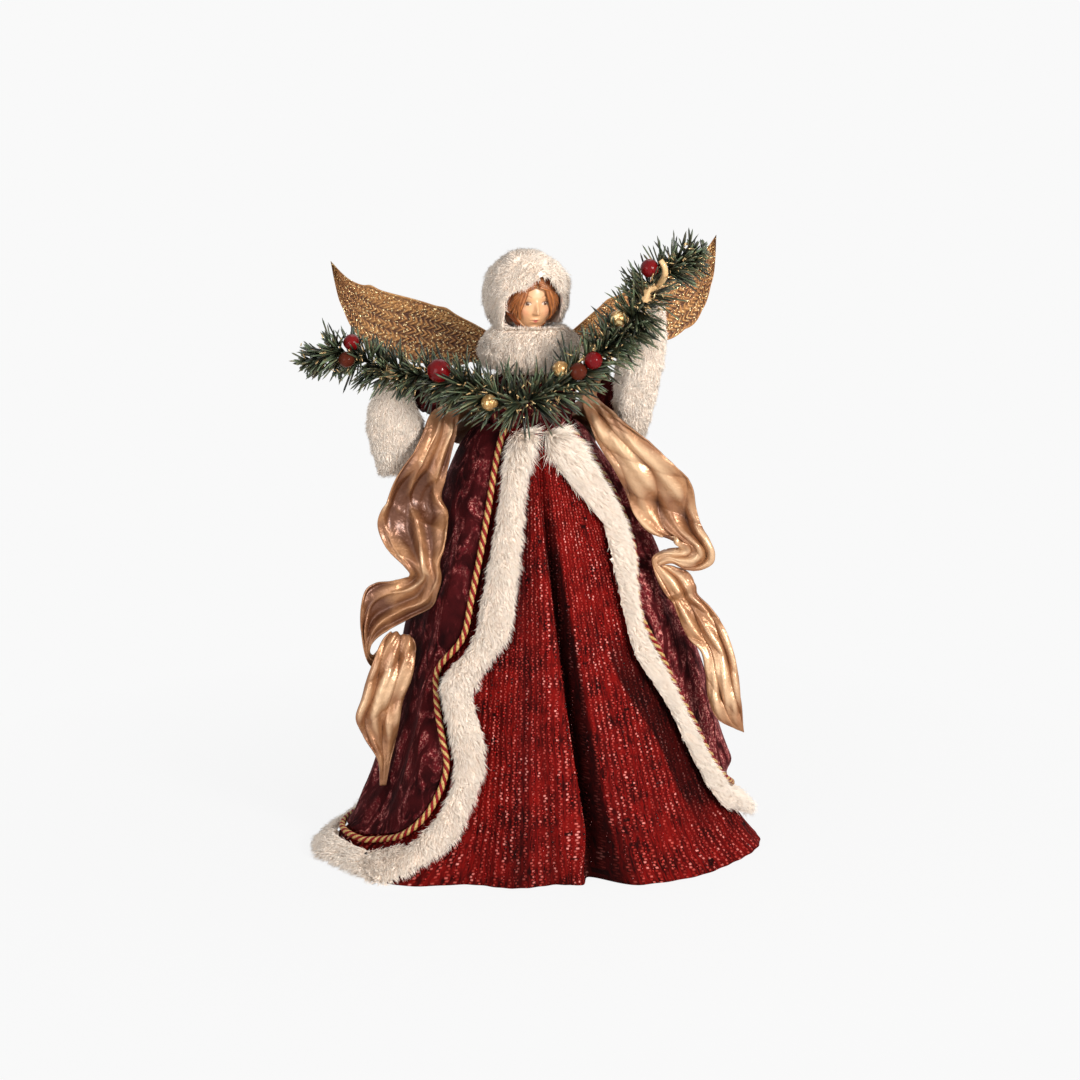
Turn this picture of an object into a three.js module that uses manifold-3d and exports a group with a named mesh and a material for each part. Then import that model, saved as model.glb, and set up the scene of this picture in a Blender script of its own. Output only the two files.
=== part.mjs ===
// Angel tree topper: a hollow cone that slips over the top of a tree carries a padded torso, a gathered
// underskirt, an open velvet robe with a fur border, two wired arms holding a pine garland, a head that
// turns on its neck post under a fur hat, and two wings whose pegs turn in a bracket on the back.
// Millimetres, +Z up. The figure faces -Y and its left hand is at +X. The origin is on the cone's axis,
// at its foot.
import * as THREE from "three";
import { mergeVertices } from "three/addons/utils/BufferGeometryUtils.js";
import Module from "manifold-3d";

const wasm = await Module();
wasm.setup();

// Clearances
const SEAT_GAP = 0.3; // between a piece and what it seats on
const LAYER_GAP = 3.9; // between two layers of hanging cloth at the hem
const TURN_GAP = 0.4; // round a pin that turns

// Cone
const CONE_HEIGHT = 268;
const CONE_BASE_RADIUS = 84;
const CONE_TOP_RADIUS = 21;
const CONE_WALL = 2;
const FOOT_WIDTH = 7; // flat ring that the cone stands on
const FOOT_HEIGHT = 2.5;
const CONE_SIDES = 20;

// Torso and bodice, measured up from the top of the cone
const WAIST_ABOVE_CONE = 12;
const TORSO_WAIST_RADIUS = 25;
const CHEST_WIDTH = 29; // half width of the torso at the chest
const CHEST_DEPTH = 21; // half depth there
const SHOULDER_RISE = 40; // height of the arm holes
const TORSO_RISE = 50; // height of the neck base
const NECK_BASE_RADIUS = 9;
const BODICE_CLOTH = 1.6;
const SPIGOT_LENGTH = 16; // torso plug inside the cone

// Underskirt and robe
const SKIRT_CLOTH = 2;
const ROBE_CLOTH = 1.8;
const HEM_FRONT = 106; // hem radius towards each side
const HEM_LEFT = 134;
const HEM_BACK = 120;
const HEM_RIGHT = 97;
const FULLNESS = 0.8; // below 1 the skirt bells out under the waist
const FULLNESS_RIGHT = 0.56;
const TRAIN_RIGHT = 45; // how far the hem sweeps out over the floor at the right front and at the left
const TRAIN_LEFT = 19;
const TRAIN_RIGHT_ANGLE = -66;
const TRAIN_LEFT_ANGLE = 70;
const TRAIN_ARC = 44;
const FLUTE_DEPTH = 4.5; // folds of the underskirt at its hem
const FLUTE_COUNT = 9;
const PLEAT_DEPTH = 16; // the one deep fold at the front
const PLEAT_TOP = 4; // where it starts at the waist and ends at the hem, in degrees from the front
const PLEAT_FOOT = 24;
const PLEAT_ARC = 7;
const ROBE_FOLD = 8; // folds of the robe at its hem
const ROBE_FOLD_COUNT = 7;
const HEM_LIFT = 0.5; // lowest cloth above the floor
const SEAM_HEIGHT_RIGHT = 15; // hem seam of the robe above the floor
const SEAM_HEIGHT_LEFT = 34;
const HEM_BAND = 15; // height of the fur along the hem
const FUR_PILE = 8;
const FUR_BACKING = 1.4;
const CORD_RADIUS = 2.2;

// Front seams of the robe and front edges of its fur:
// [degrees from the front, share of the way down from the waist]
const SEAM_RIGHT = [
  [-30, 0], [-29, 0.2], [-31, 0.39], [-33, 0.49], [-44, 0.57], [-42, 0.63], [-35, 0.73], [-32, 0.8],
  [-36, 0.9], [-45, 0.965], [-60, 1],
];
const EDGE_RIGHT = [
  [9, 0], [0, 0.09], [-4, 0.25], [-9, 0.45], [-16, 0.5], [-25.5, 0.57], [-23.5, 0.62], [-18.5, 0.69],
  [-17.5, 0.76], [-21, 0.83], [-27, 0.93], [-40, 1],
];
const SEAM_LEFT = [
  [50, 0], [60, 0.05], [67, 0.115], [73, 0.21], [70, 0.31], [60, 0.41], [57, 0.49], [63, 0.59], [66.5, 0.69],
  [71, 0.78], [74, 0.87], [79, 0.95], [90, 1],
];
const EDGE_LEFT = [
  [13, 0], [15, 0.05], [38, 0.17], [48, 0.225], [48, 0.28], [46, 0.45], [47, 0.55], [56, 0.66], [60, 0.73],
  [66, 0.88], [70, 0.96], [80, 1],
];

// Gold stole
const STOLE_CLOTH = 1.4;
const STOLE_TOP = 16; // swag behind the waist, above it
const STOLE_BACK_WIDTH = 26;
const STOLE_SAG = 20;
const STOLE_CLEARANCE = 3;
const STOLE_PUFF = 2.6; // how far the middle of a tail swells between its edges
const STOLE_PUFF_LENGTH = 44; // from one swelling to the next
// Where the stole lies on each arm, as shares of the way from the chest to the elbow
const STOLE_ARM_RIGHT = [1.05, 0.5];
const STOLE_ARM_LEFT = [0.15, 0.6];
const STOLE_FRONT = -58; // degrees round the sleeve, from its top, where a tail begins
const STOLE_BEHIND = 122; // and where the swag does
// Tails of the stole below the arms, station by station, its one edge and its other:
// [share of the way down from the waist, degrees from the front, how far it stands off the robe]
const STOLE_TAIL_RIGHT = [
  [[-0.036, -62, 41.3], [-0.036, -59, 21.3]], [[0.014, -58.1, 44.4], [0.007, -57.4, 20.8]],
  [[0.093, -60.7, 44.8], [0.075, -56.3, 14.5]], [[0.175, -67.2, 44.8], [0.157, -60.7, 9.5]],
  [[0.214, -67.8, 44.1], [0.189, -57.3, 4.3]], [[0.261, -66.4, 37.2], [0.232, -51.6, 4.9]],
  [[0.289, -63.7, 30], [0.268, -50.1, 5.7]], [[0.311, -60.1, 24], [0.3, -50.4, 6.8]],
  [[0.329, -60.8, 18.6], [0.336, -50.5, 2.6]], [[0.343, -64.9, 18.4], [0.371, -52.1, 2]],
  [[0.35, -66.9, 24.9], [0.407, -55.7, 2]], [[0.354, -68, 34.4], [0.439, -62.9, 10.6]],
  [[0.371, -67.9, 40.8], [0.464, -65.5, 22.1]], [[0.411, -68, 41.3], [0.486, -66.7, 28.2]],
  [[0.468, -68.5, 37.2], [0.511, -68, 29.7]], [[0.543, -68.2, 28.6], [0.525, -68.6, 26.1]],
  [[0.568, -67.4, 18.3], [0.514, -68.5, 23.6]], [[0.55, -64.8, 9.9], [0.496, -68.4, 21.5]],
  [[0.507, -62.9, 6.5], [0.479, -67, 19.6]], [[0.479, -59.9, 8.6], [0.464, -64.5, 20.9]],
  [[0.496, -57.6, 7.3], [0.482, -63.7, 26.2]], [[0.561, -57.7, 5.7], [0.557, -64.3, 31.1]],
  [[0.632, -60, 7.8], [0.618, -64.9, 32.4]], [[0.675, -60.5, 7.1], [0.664, -65.3, 33.7]],
  [[0.718, -61.1, 6.2], [0.711, -64.7, 26]], [[0.775, -61.7, 6], [0.768, -62.7, 14.4]],
  [[0.829, -62, 3.9], [0.829, -62.5, 7.8]],
];
const STOLE_TAIL_LEFT = [
  [[-0.046, 53.4, 12.4], [-0.036, 53.6, 39.6]], [[0.029, 53.3, 15.2], [0.029, 58.2, 54.7]],
  [[0.086, 56.3, 17.3], [0.082, 62.7, 60.2]], [[0.143, 60.9, 14.8], [0.125, 66.6, 60.8]],
  [[0.193, 63.8, 13.7], [0.175, 69, 55.7]], [[0.232, 64, 19], [0.221, 69.3, 54.2]],
  [[0.246, 64.8, 26.8], [0.25, 69.2, 56.3]], [[0.25, 65.2, 34.9], [0.279, 69.7, 55.9]],
  [[0.261, 67.6, 36.1], [0.304, 70, 51.8]], [[0.271, 68.9, 32.8], [0.321, 69.1, 42.1]],
  [[0.275, 68.2, 26.5], [0.321, 67.9, 33.5]], [[0.282, 66.8, 20.2], [0.307, 67, 26.1]],
  [[0.296, 64.3, 15], [0.314, 65.9, 18.5]], [[0.321, 64.6, 13.2], [0.314, 67.7, 22.6]],
  [[0.357, 65.1, 13.5], [0.329, 69.6, 32.4]], [[0.386, 65.3, 15.9], [0.357, 69, 35.2]],
  [[0.393, 63.4, 20], [0.375, 67.4, 35.9]], [[0.418, 64.2, 20.2], [0.404, 67.9, 41.1]],
  [[0.475, 65.3, 21.3], [0.454, 68, 46.8]], [[0.507, 66.6, 26.7], [0.511, 68.1, 47.5]],
  [[0.557, 66.7, 25.1], [0.571, 67.8, 45.2]], [[0.621, 66.3, 21.7], [0.629, 68.1, 41.6]],
  [[0.668, 66.9, 23.2], [0.671, 68.3, 38.5]], [[0.689, 68.4, 32.3], [0.696, 68.8, 36.5]],
];

// Arms, sleeves, cuffs and hands, measured from the top of the cone
const WIRE_RADIUS = 1.5;
const WIRE_BURIED = 14; // length of wire inside the torso
const SLEEVE_RADIUS = 10.5;
const SLEEVE_END = 0.76; // share of the arm that the velvet covers
const ELBOW_OUT = 60;
const ELBOW_FORWARD = 12;
const ELBOW_RISE_RIGHT = 28;
const ELBOW_RISE_LEFT = 31;
const CUFF_PILE = 4.5;
const CUFF_DROP_RIGHT = 62; // length of each bell cuff
const CUFF_DROP_LEFT = 80;
const CUFF_LEAN_RIGHT = 4; // how far each cuff swings in towards the body
const CUFF_LEAN_LEFT = 13;
const CUFF_TOP_RADIUS = 9;
const CUFF_WIDTH_RIGHT = 19; // half width of each cuff where it is fullest
const CUFF_WIDTH_LEFT = 16;
const CUFF_DEPTH = 14;
const CUFF_MOUTH = 0.72; // the mouth as a share of the fullest width
const CUFF_FOLD = 0.3; // depth of the crease down each cuff, as a share of its radius
const FINGER_RADIUS = 1.75;
const FINGER_CURL = [-20, 215]; // degrees round the stem from the palm
const FINGER_SHORTER = 12; // less for each finger's place off the middle
const THUMB_CURL = [20, -150];
const PALM_RADIUS = 5.4;
const WRIST_RADIUS = 3.1;

// Garland: stem route from the figure's right to its left, measured from the top of the cone
const GARLAND_ROUTE = [
  [-142, -46, 58], [-116, -49, 64], [-90, -52, 53], [-62, -57, 50], [-37, -61, 43], [-11, -63, 34],
  [12, -62, 41], [35, -58, 57], [57, -54, 76], [70, -52, 94], [79, -50, 111], [96, -48, 122], [110, -46, 128],
];
const GRIP_RIGHT = 0.19; // places of the hands along the stem
const GRIP_LEFT = 0.842;
const STEM_RADIUS = 1.3;
const SPRIG_COUNT = 4;
const NEEDLES_PER_SPRIG = 110;
const NEEDLE_LENGTH = 19;
const NEEDLE_RADIUS = 0.5;
const NEEDLE_LEAN = 64; // degrees off the stem
// Berries: [colour, share of the stem, degrees round the stem from the front, radius]
const BERRIES = [
  ["red", 0.1, 62, 5.2], ["brown", 0.1, -18, 5], ["red", 0.3, 42, 7.4], ["gold", 0.42, -12, 5.2],
  ["brown", 0.62, 8, 5.6], ["red", 0.66, 4, 5.6], ["gold", 0.595, 70, 5.2], ["gold", 0.765, 64, 5.2],
  ["red", 0.885, 60, 5.8],
];
const BERRY_STAND = 9; // from the stem's axis to a berry's centre

// Head, hat and collar
const NECK_POST_RADIUS = 3;
const NECK_POST_BURIED = 23; // length of the post inside the torso
const NECK_POST_TOP = 12; // its top above the chin
const NECK_RADIUS = 7.6;
const COLLAR_RING = 22; // radius of the collar's middle line
const COLLAR_THICK = 12;
const COLLAR_TALL = 13.5;
const COLLAR_FRONT = 5; // extra fullness at the front
const CHIN_RISE = 21; // chin above the neck base
const HEAD_WIDTH = 16; // half sizes of the skull
const HEAD_DEPTH = 17.5;
const HEAD_TALL = 22;
const HEAD_YAW = 17; // the face looks to the figure's left
const HEAD_NOD = 6;
const HAIR_THICK = 2.6;
const HAT_PUFF = 9.5; // fur outside the hair
const HAT_CLEARANCE = 1.5; // from the collar up to the hat
const FACE_ARCH_WIDTH = 16.5; // half width of the hat's opening
const FACE_ARCH_RISE = 9; // of its crown above the middle of the head

// Wings and their bracket
const HINGE_OUT = 16;
const HINGE_BACK = 36;
const PEG_RADIUS = 2.4;
const PEG_LENGTH = 12;
const SOCKET_WALL = 2;
const SOCKET_BASE = 2;
const BRACKET_RISE = 32; // foot of the sockets above the cone's top
const BRACKET_PLATE = 3;
const BRACKET_STRUT = 4;
const ROOT_CLEARANCE = 3.4; // from the wing's root to the top of its socket
const WING_SWEEP = 15; // degrees that the wings lean back
const WING_LIFT_LEFT = 9; // the left wing is bent up by this many degrees
const WING_THICK = 2.6;
const WING_CAMBER = 7;
const FEATHERS = 9;
const FEATHER_TIP = 3.2;
// Outlines of a wing, [out from the hinge, up from the bracket's foot]
const WING_LEADING = [[0, 27], [22, 40], [50, 52], [83, 60], [104, 66], [118, 78]];
const WING_TRAILING = [[0, 19], [20, 14], [60, 14], [94, 23], [111, 49], [118, 78]];

// Finishes
const finish = (color, roughness, metalness = 0) =>
  new THREE.MeshStandardMaterial({ color, roughness, metalness });
const CARD = finish(0xd9d2c3, 0.9);
const FOAM = finish(0xe6e1d6, 0.95);
const VELVET = finish(0x4a0f18, 0.65);
const SEQUIN_CLOTH = finish(0xa01018, 0.5, 0.1);
const LAME = finish(0xb9823f, 0.3, 0.75);
const FUR = finish(0xf3ece0, 1);
const CORD = finish(0xb0343a, 0.6);
const WIRE = finish(0x8c8c88, 0.4, 1);
const RESIN_SKIN = finish(0xd9a878, 0.45);
const GILT = finish(0xb98442, 0.4, 0.7);
const PINE = finish(0x1f4630, 0.7);
const BERRY = { red: finish(0x9e1118, 0.2), brown: finish(0x4a2418, 0.3), gold: finish(0xc99a4b, 0.35, 0.7) };

const DEG = Math.PI / 180;
const UP = new THREE.Vector3(0, 0, 1);
const vec = (x, y, z) => new THREE.Vector3(x, y, z);
const lerp = THREE.MathUtils.lerp;
const clamp01 = (x) => THREE.MathUtils.clamp(x, 0, 1);
const hump = (x, centre, width) => Math.exp(-(((x - centre) / width) ** 2));

// A curve through [across, along] pairs as a function: across at a given share along, linear past the ends.
function along(pairs) {
  const curve = new THREE.SplineCurve(pairs.map(([a, s]) => new THREE.Vector2(a, s)));
  const fine = curve.getPoints(pairs.length * 12);
  return (share) => {
    let i = fine.findIndex((p) => p.y >= share);
    if (i < 1) i = i < 0 ? fine.length - 1 : 1;
    const [p, q] = [fine[i - 1], fine[i]];
    return lerp(p.x, q.x, clamp01((share - p.y) / Math.max(1e-6, q.y - p.y)));
  };
}

// Solid makers

// A BufferGeometry from points and triangles, turned so that its faces point out.
function geometryOf(points, triangles) {
  let volume = 0;
  for (const [a, b, c] of triangles) volume += points[a].dot(points[b].clone().cross(points[c]));
  const corners = triangles.flatMap(([a, b, c]) => (volume < 0 ? [a, c, b] : [a, b, c]));
  const geometry = new THREE.BufferGeometry();
  geometry.setAttribute("position", new THREE.Float32BufferAttribute(points.flatMap((p) => p.toArray()), 3));
  geometry.setIndex(corners);
  return geometry;
}

// A closed wall between two surfaces of (u, v). With wrap, u runs right round.
function wall(outer, inner, columns, rows, wrap = false) {
  const points = [];
  const triangles = [];
  const across = wrap ? columns : columns + 1;
  const count = across * (rows + 1);
  for (const surface of [outer, inner])
    for (let j = 0; j <= rows; j++)
      for (let i = 0; i < across; i++) points.push(surface(i / columns, j / rows));
  const at = (i, j, side) => side * count + j * across + (i % across);
  const quad = (a, b, c, d) => triangles.push([a, b, c], [a, c, d]);
  for (let j = 0; j < rows; j++)
    for (let i = 0; i < columns; i++) {
      quad(at(i, j, 0), at(i + 1, j, 0), at(i + 1, j + 1, 0), at(i, j + 1, 0));
      quad(at(i, j, 1), at(i, j + 1, 1), at(i + 1, j + 1, 1), at(i + 1, j, 1));
    }
  for (let i = 0; i < columns; i++) {
    quad(at(i, 0, 0), at(i, 0, 1), at(i + 1, 0, 1), at(i + 1, 0, 0));
    quad(at(i, rows, 0), at(i + 1, rows, 0), at(i + 1, rows, 1), at(i, rows, 1));
  }
  if (!wrap)
    for (let j = 0; j < rows; j++) {
      quad(at(0, j, 0), at(0, j + 1, 0), at(0, j + 1, 1), at(0, j, 1));
      quad(at(columns, j, 0), at(columns, j, 1), at(columns, j + 1, 1), at(columns, j + 1, 0));
    }
  return geometryOf(points, triangles);
}

// A sheet of even thickness over a surface of (u, v).
function sheet(surface, thickness, columns, rows) {
  const step = 1e-3;
  const side = (sign) => (u, v) => {
    const du = surface(Math.min(1, u + step), v).sub(surface(Math.max(0, u - step), v));
    const dv = surface(u, Math.min(1, v + step)).sub(surface(u, Math.max(0, v - step)));
    return surface(u, v).addScaledVector(du.cross(dv).normalize(), (sign * thickness) / 2);
  };
  return wall(side(1), side(-1), columns, rows);
}

// A closed loft over rings of equal counts, with a fan at each end.
function loft(rings) {
  const sides = rings[0].length;
  const points = rings.flat();
  const triangles = [];
  for (let j = 0; j + 1 < rings.length; j++)
    for (let i = 0; i < sides; i++) {
      const [a, b] = [j * sides + i, j * sides + ((i + 1) % sides)];
      triangles.push([a, b, b + sides], [a, b + sides, a + sides]);
    }
  for (const [j, turned] of [[0, true], [rings.length - 1, false]]) {
    const middle = points.push(rings[j].reduce((sum, p) => sum.add(p), vec(0, 0, 0)).divideScalar(sides)) - 1;
    for (let i = 0; i < sides; i++) {
      const [a, b] = [j * sides + i, j * sides + ((i + 1) % sides)];
      triangles.push(turned ? [b, a, middle] : [a, b, middle]);
    }
  }
  return geometryOf(points, triangles);
}

// A round tube along a curve. radius is a number or a function of the share along it.
function tube(curve, radius, steps, sides) {
  const size = typeof radius === "number" ? () => radius : radius;
  const frames = curve.computeFrenetFrames(steps, false);
  const rings = [];
  for (let j = 0; j <= steps; j++) {
    const centre = curve.getPointAt(j / steps);
    rings.push(
      Array.from({ length: sides }, (_, i) => {
        const turn = (2 * Math.PI * i) / sides;
        return centre
          .clone()
          .addScaledVector(frames.normals[j], Math.cos(turn) * size(j / steps))
          .addScaledVector(frames.binormals[j], Math.sin(turn) * size(j / steps));
      }),
    );
  }
  return loft(rings);
}

const curveThrough = (points) => new THREE.CatmullRomCurve3(points, false, "centripetal");

// An oval ring at one height.
const oval = (x, y, z, halfWidth, halfDepth, sides) =>
  Array.from({ length: sides }, (_, i) => {
    const turn = (2 * Math.PI * i) / sides;
    return vec(x + halfWidth * Math.cos(turn), y + halfDepth * Math.sin(turn), z);
  });

const ball = (x, y, z, rx, ry, rz, across = 20, down = 12) =>
  new THREE.SphereGeometry(1, across, down).rotateX(Math.PI / 2).scale(rx, ry, rz).translate(x, y, z);

const rod = (radius, from, to, sides = 12) =>
  new THREE.CylinderGeometry(radius, radius, to - from, sides)
    .rotateX(Math.PI / 2)
    .translate(0, 0, (from + to) / 2);

function solidOf(geometry) {
  const bare = geometry.clone();
  bare.deleteAttribute("normal");
  bare.deleteAttribute("uv");
  const merged = mergeVertices(bare, 1e-3);
  const vertProperties = new Float32Array(merged.attributes.position.array);
  const triVerts = new Uint32Array(merged.index.array);
  return new wasm.Manifold(new wasm.Mesh({ numProp: 3, vertProperties, triVerts }));
}

function geometryFrom(solid) {
  const mesh = solid.getMesh();
  const geometry = new THREE.BufferGeometry();
  geometry.setAttribute("position", new THREE.BufferAttribute(new Float32Array(mesh.vertProperties), 3));
  geometry.setIndex(new THREE.BufferAttribute(new Uint32Array(mesh.triVerts), 1));
  return geometry;
}

const joined = (geometries) => geometryFrom(wasm.Manifold.union(geometries.map(solidOf)));
const cut = (geometry, cutters) =>
  geometryFrom(cutters.reduce((solid, cutter) => solid.subtract(solidOf(cutter)), solidOf(geometry)));

const root = new THREE.Group();
const figure = new THREE.Group(); // everything that stands on the cone
figure.position.z = CONE_HEIGHT;
root.add(figure);

function add(name, geometry, material, group = figure) {
  const mesh = new THREE.Mesh(geometry, material);
  mesh.name = name;
  group.add(mesh);
}

// Cone: an open shell with a flat foot ring and a hole at the top for the torso's plug
function treeCone() {
  const plug = CONE_TOP_RADIUS - CONE_WALL * 2;
  const inside = CONE_BASE_RADIUS - CONE_WALL;
  const profile = [
    [CONE_BASE_RADIUS, 0], [CONE_BASE_RADIUS, FOOT_HEIGHT], [CONE_TOP_RADIUS, CONE_HEIGHT],
    [plug, CONE_HEIGHT], [plug, CONE_HEIGHT - CONE_WALL],
    [CONE_TOP_RADIUS - CONE_WALL, CONE_HEIGHT - CONE_WALL * 2], [inside, FOOT_HEIGHT],
    [CONE_BASE_RADIUS - FOOT_WIDTH, FOOT_HEIGHT], [CONE_BASE_RADIUS - FOOT_WIDTH, 0], [CONE_BASE_RADIUS, 0],
  ];
  const points = profile.map(([r, z]) => new THREE.Vector2(r, z));
  add("tree_cone", new THREE.LatheGeometry(points, CONE_SIDES).rotateX(Math.PI / 2), CARD, root);
}

// Torso rings: [height, half width, half depth], from the waist to the neck base
const TORSO_RINGS = [
  [SEAT_GAP, TORSO_WAIST_RADIUS, TORSO_WAIST_RADIUS],
  [WAIST_ABOVE_CONE, TORSO_WAIST_RADIUS, TORSO_WAIST_RADIUS],
  [lerp(WAIST_ABOVE_CONE, SHOULDER_RISE, 0.55), CHEST_WIDTH, CHEST_DEPTH],
  [SHOULDER_RISE, CHEST_WIDTH, CHEST_DEPTH - 3],
  [lerp(SHOULDER_RISE, TORSO_RISE, 0.6), CHEST_WIDTH * 0.66, CHEST_DEPTH * 0.62],
  [TORSO_RISE, NECK_BASE_RADIUS, NECK_BASE_RADIUS],
];
const TORSO_SIDES = 12;
const torsoGrown = (extra) =>
  TORSO_RINGS.map(([z, w, d]) => oval(0, 0, z, w + extra, d + extra, TORSO_SIDES));
// The dressed torso with a gap round it, to cut out of what lies against it
const torsoRoom = () => loft(torsoGrown(BODICE_CLOTH + SEAT_GAP));

// Arms: a wire from inside the torso, out at the shoulder, round the elbow and into the hand
const stem = curveThrough(GARLAND_ROUTE.map((p) => vec(...p)));

function armOf(side) {
  const [grip, rise] = side > 0 ? [GRIP_LEFT, ELBOW_RISE_LEFT] : [GRIP_RIGHT, ELBOW_RISE_RIGHT];
  const hold = stem.getPointAt(grip);
  const shoulder = vec(side * (CHEST_WIDTH + BODICE_CLOTH), 0, SHOULDER_RISE - SLEEVE_RADIUS / 2);
  const elbow = vec(side * ELBOW_OUT, -ELBOW_FORWARD, rise);
  const stemWay = stem.getTangentAt(grip);
  const reachWay = hold.clone().sub(elbow).projectOnPlane(stemWay).normalize();
  const heel = hold.clone().addScaledVector(reachWay, -(PALM_RADIUS + STEM_RADIUS));
  const wrist = heel.clone().addScaledVector(reachWay, -PALM_RADIUS);
  const buried = shoulder.clone().setX(side * (CHEST_WIDTH - WIRE_BURIED));
  const middle = shoulder.clone().lerp(elbow, 0.5).setX(side * lerp(CHEST_WIDTH, ELBOW_OUT, 0.55));
  middle.y = -ELBOW_FORWARD * 0.35;
  const path = curveThrough([buried, shoulder, middle, elbow, wrist]);
  return { side, grip, hold, stemWay, reachWay, heel, wrist, path };
}
const arms = [armOf(-1), armOf(1)];
const sideName = (arm) => (arm.side > 0 ? "left" : "right");

// The stretch of an arm from the shoulder to a share of its length
function stretchOf(arm, from, to) {
  const count = 9;
  const at = (i) => arm.path.getPointAt(lerp(from, to, i / (count - 1)));
  return curveThrough(Array.from({ length: count }, (_, i) => at(i)));
}
const SLEEVE_START = 0.15; // share of the arm at the shoulder
const sleeveSize = (share) => {
  const s = clamp01((share - SLEEVE_START) / (SLEEVE_END - SLEEVE_START));
  return SLEEVE_RADIUS * (0.84 + 0.16 * Math.sin(Math.PI * s));
};
const sleeveTube = (arm, gap = 0) =>
  tube(
    stretchOf(arm, SLEEVE_START, SLEEVE_END),
    (s) => gap + sleeveSize(lerp(SLEEVE_START, SLEEVE_END, s)),
    6,
    10,
  );
const wireTube = (arm, gap = 0) => tube(arm.path, WIRE_RADIUS + gap, 14, 6);

function torsoAndBodice() {
  const bores = arms.map((arm) => wireTube(arm, SEAT_GAP));
  const post = rod(NECK_POST_RADIUS + SEAT_GAP, TORSO_RISE - NECK_POST_BURIED - 1, TORSO_RISE + NECK_BASE_RADIUS);
  const plugRadius = CONE_TOP_RADIUS - CONE_WALL * 2 - SEAT_GAP;
  const form = joined([loft(torsoGrown(0)), rod(plugRadius, -SPIGOT_LENGTH, 1, CONE_SIDES)]);
  add("torso", cut(form, [...bores, post]), FOAM);
  const ring = (rings, u, v) => {
    const place = v * (rings.length - 1);
    const j = Math.min(rings.length - 2, Math.floor(place));
    const turn = 2 * Math.PI * u;
    const [z, w, d] = rings[j].map((a, k) => lerp(a, rings[j + 1][k], place - j));
    return [z, w, d, turn];
  };
  const skin = (grow) => (u, v) => {
    const [z, w, d, turn] = ring(TORSO_RINGS.slice(0, -1), u, v);
    return vec((w + grow) * Math.cos(turn), (d + grow) * Math.sin(turn), z);
  };
  const cover = wall(skin(BODICE_CLOTH), skin(SEAT_GAP), TORSO_SIDES, TORSO_RINGS.length - 2, true);
  add("bodice", cut(cover, bores), VELVET);
  const postTop = TORSO_RISE + CHIN_RISE + NECK_POST_TOP;
  add("neck_post", rod(NECK_POST_RADIUS, TORSO_RISE - NECK_POST_BURIED, postTop), WIRE);
}

// Skirt layers: every layer is a radius at an angle from the front and a height above the floor
const WAIST_HEIGHT = CONE_HEIGHT + WAIST_ABOVE_CONE;
const WAIST_RADIUS = TORSO_WAIST_RADIUS + BODICE_CLOTH + SEAT_GAP + SKIRT_CLOTH;
const polar = (angle, radius, z) => vec(radius * Math.sin(angle), -radius * Math.cos(angle), z);
const wayDown = (z) => clamp01(1 - z / WAIST_HEIGHT);
// Plan of the hem: [degrees from the front, radius]
const hemMix = (a, b) => (a + b) / 2;
const HEM_PLAN = [
  [0, HEM_FRONT], [28, HEM_FRONT * 1.08], [58, HEM_LEFT], [92, HEM_LEFT], [140, hemMix(HEM_LEFT, HEM_BACK)],
  [180, HEM_BACK], [225, hemMix(HEM_BACK, HEM_RIGHT)], [270, HEM_RIGHT], [330, HEM_FRONT], [360, HEM_FRONT],
];
function hemRadius(angle) {
  const degrees = (((angle / DEG) % 360) + 360) % 360;
  const i = HEM_PLAN.findIndex(([end]) => end > degrees);
  const [[from, before], [to, after]] = [HEM_PLAN[i - 1], HEM_PLAN[i]];
  return lerp(before, after, THREE.MathUtils.smoothstep(degrees, from, to));
}
const turnFrom = (angle, degrees) => {
  const turn = (angle / DEG - degrees) % 360;
  return turn > 180 ? turn - 360 : turn < -180 ? turn + 360 : turn;
};

function skirtRadius(angle, z) {
  const t = wayDown(z);
  const fullness = lerp(FULLNESS, FULLNESS_RIGHT, Math.max(0, -Math.sin(angle)) ** 2);
  const bell = (hemRadius(angle) - WAIST_RADIUS) * t ** fullness;
  const right = TRAIN_RIGHT * hump(turnFrom(angle, TRAIN_RIGHT_ANGLE), 0, TRAIN_ARC);
  const left = TRAIN_LEFT * hump(turnFrom(angle, TRAIN_LEFT_ANGLE), 0, TRAIN_ARC);
  const train = (right + left) * t ** 12;
  const flutes = FLUTE_DEPTH * t ** 1.2 * Math.cos(FLUTE_COUNT * angle + 0.9 * Math.sin(2 * angle + 0.7));
  const pleatAngle = lerp(PLEAT_TOP, PLEAT_FOOT, t ** 0.6);
  const pleat = PLEAT_DEPTH * t ** 1.1 * hump(turnFrom(angle, pleatAngle), 0, PLEAT_ARC);
  return WAIST_RADIUS + bell + train + flutes - pleat;
}
const layerGap = (z) => lerp(SEAT_GAP * 1.6, LAYER_GAP, wayDown(z) ** 0.4);
const robeFold = (angle, z) =>
  ROBE_FOLD *
  wayDown(z) ** 0.8 *
  (0.5 + 0.5 * Math.cos(ROBE_FOLD_COUNT * angle + 1.3 * Math.sin(angle - 0.4)));
const robeInside = (angle, z) => skirtRadius(angle, z) + layerGap(z) + robeFold(angle, z);
const robeOutside = (angle, z) => robeInside(angle, z) + ROBE_CLOTH;

const CLOTH_ROWS = 8;
const rowShare = (v) => lerp(v ** 2, 1 - (1 - v) ** 1.8, v); // rows crowd towards the waist and the hem

function underskirt() {
  const surface = (inset) => (u, v) => {
    const z = lerp(WAIST_HEIGHT, HEM_LIFT, rowShare(v));
    const angle = 2 * Math.PI * u;
    return polar(angle, skirtRadius(angle, z) - inset, z);
  };
  add("underskirt", wall(surface(0), surface(SKIRT_CLOTH), 44, CLOTH_ROWS, true), SEQUIN_CLOTH, root);
}

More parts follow.
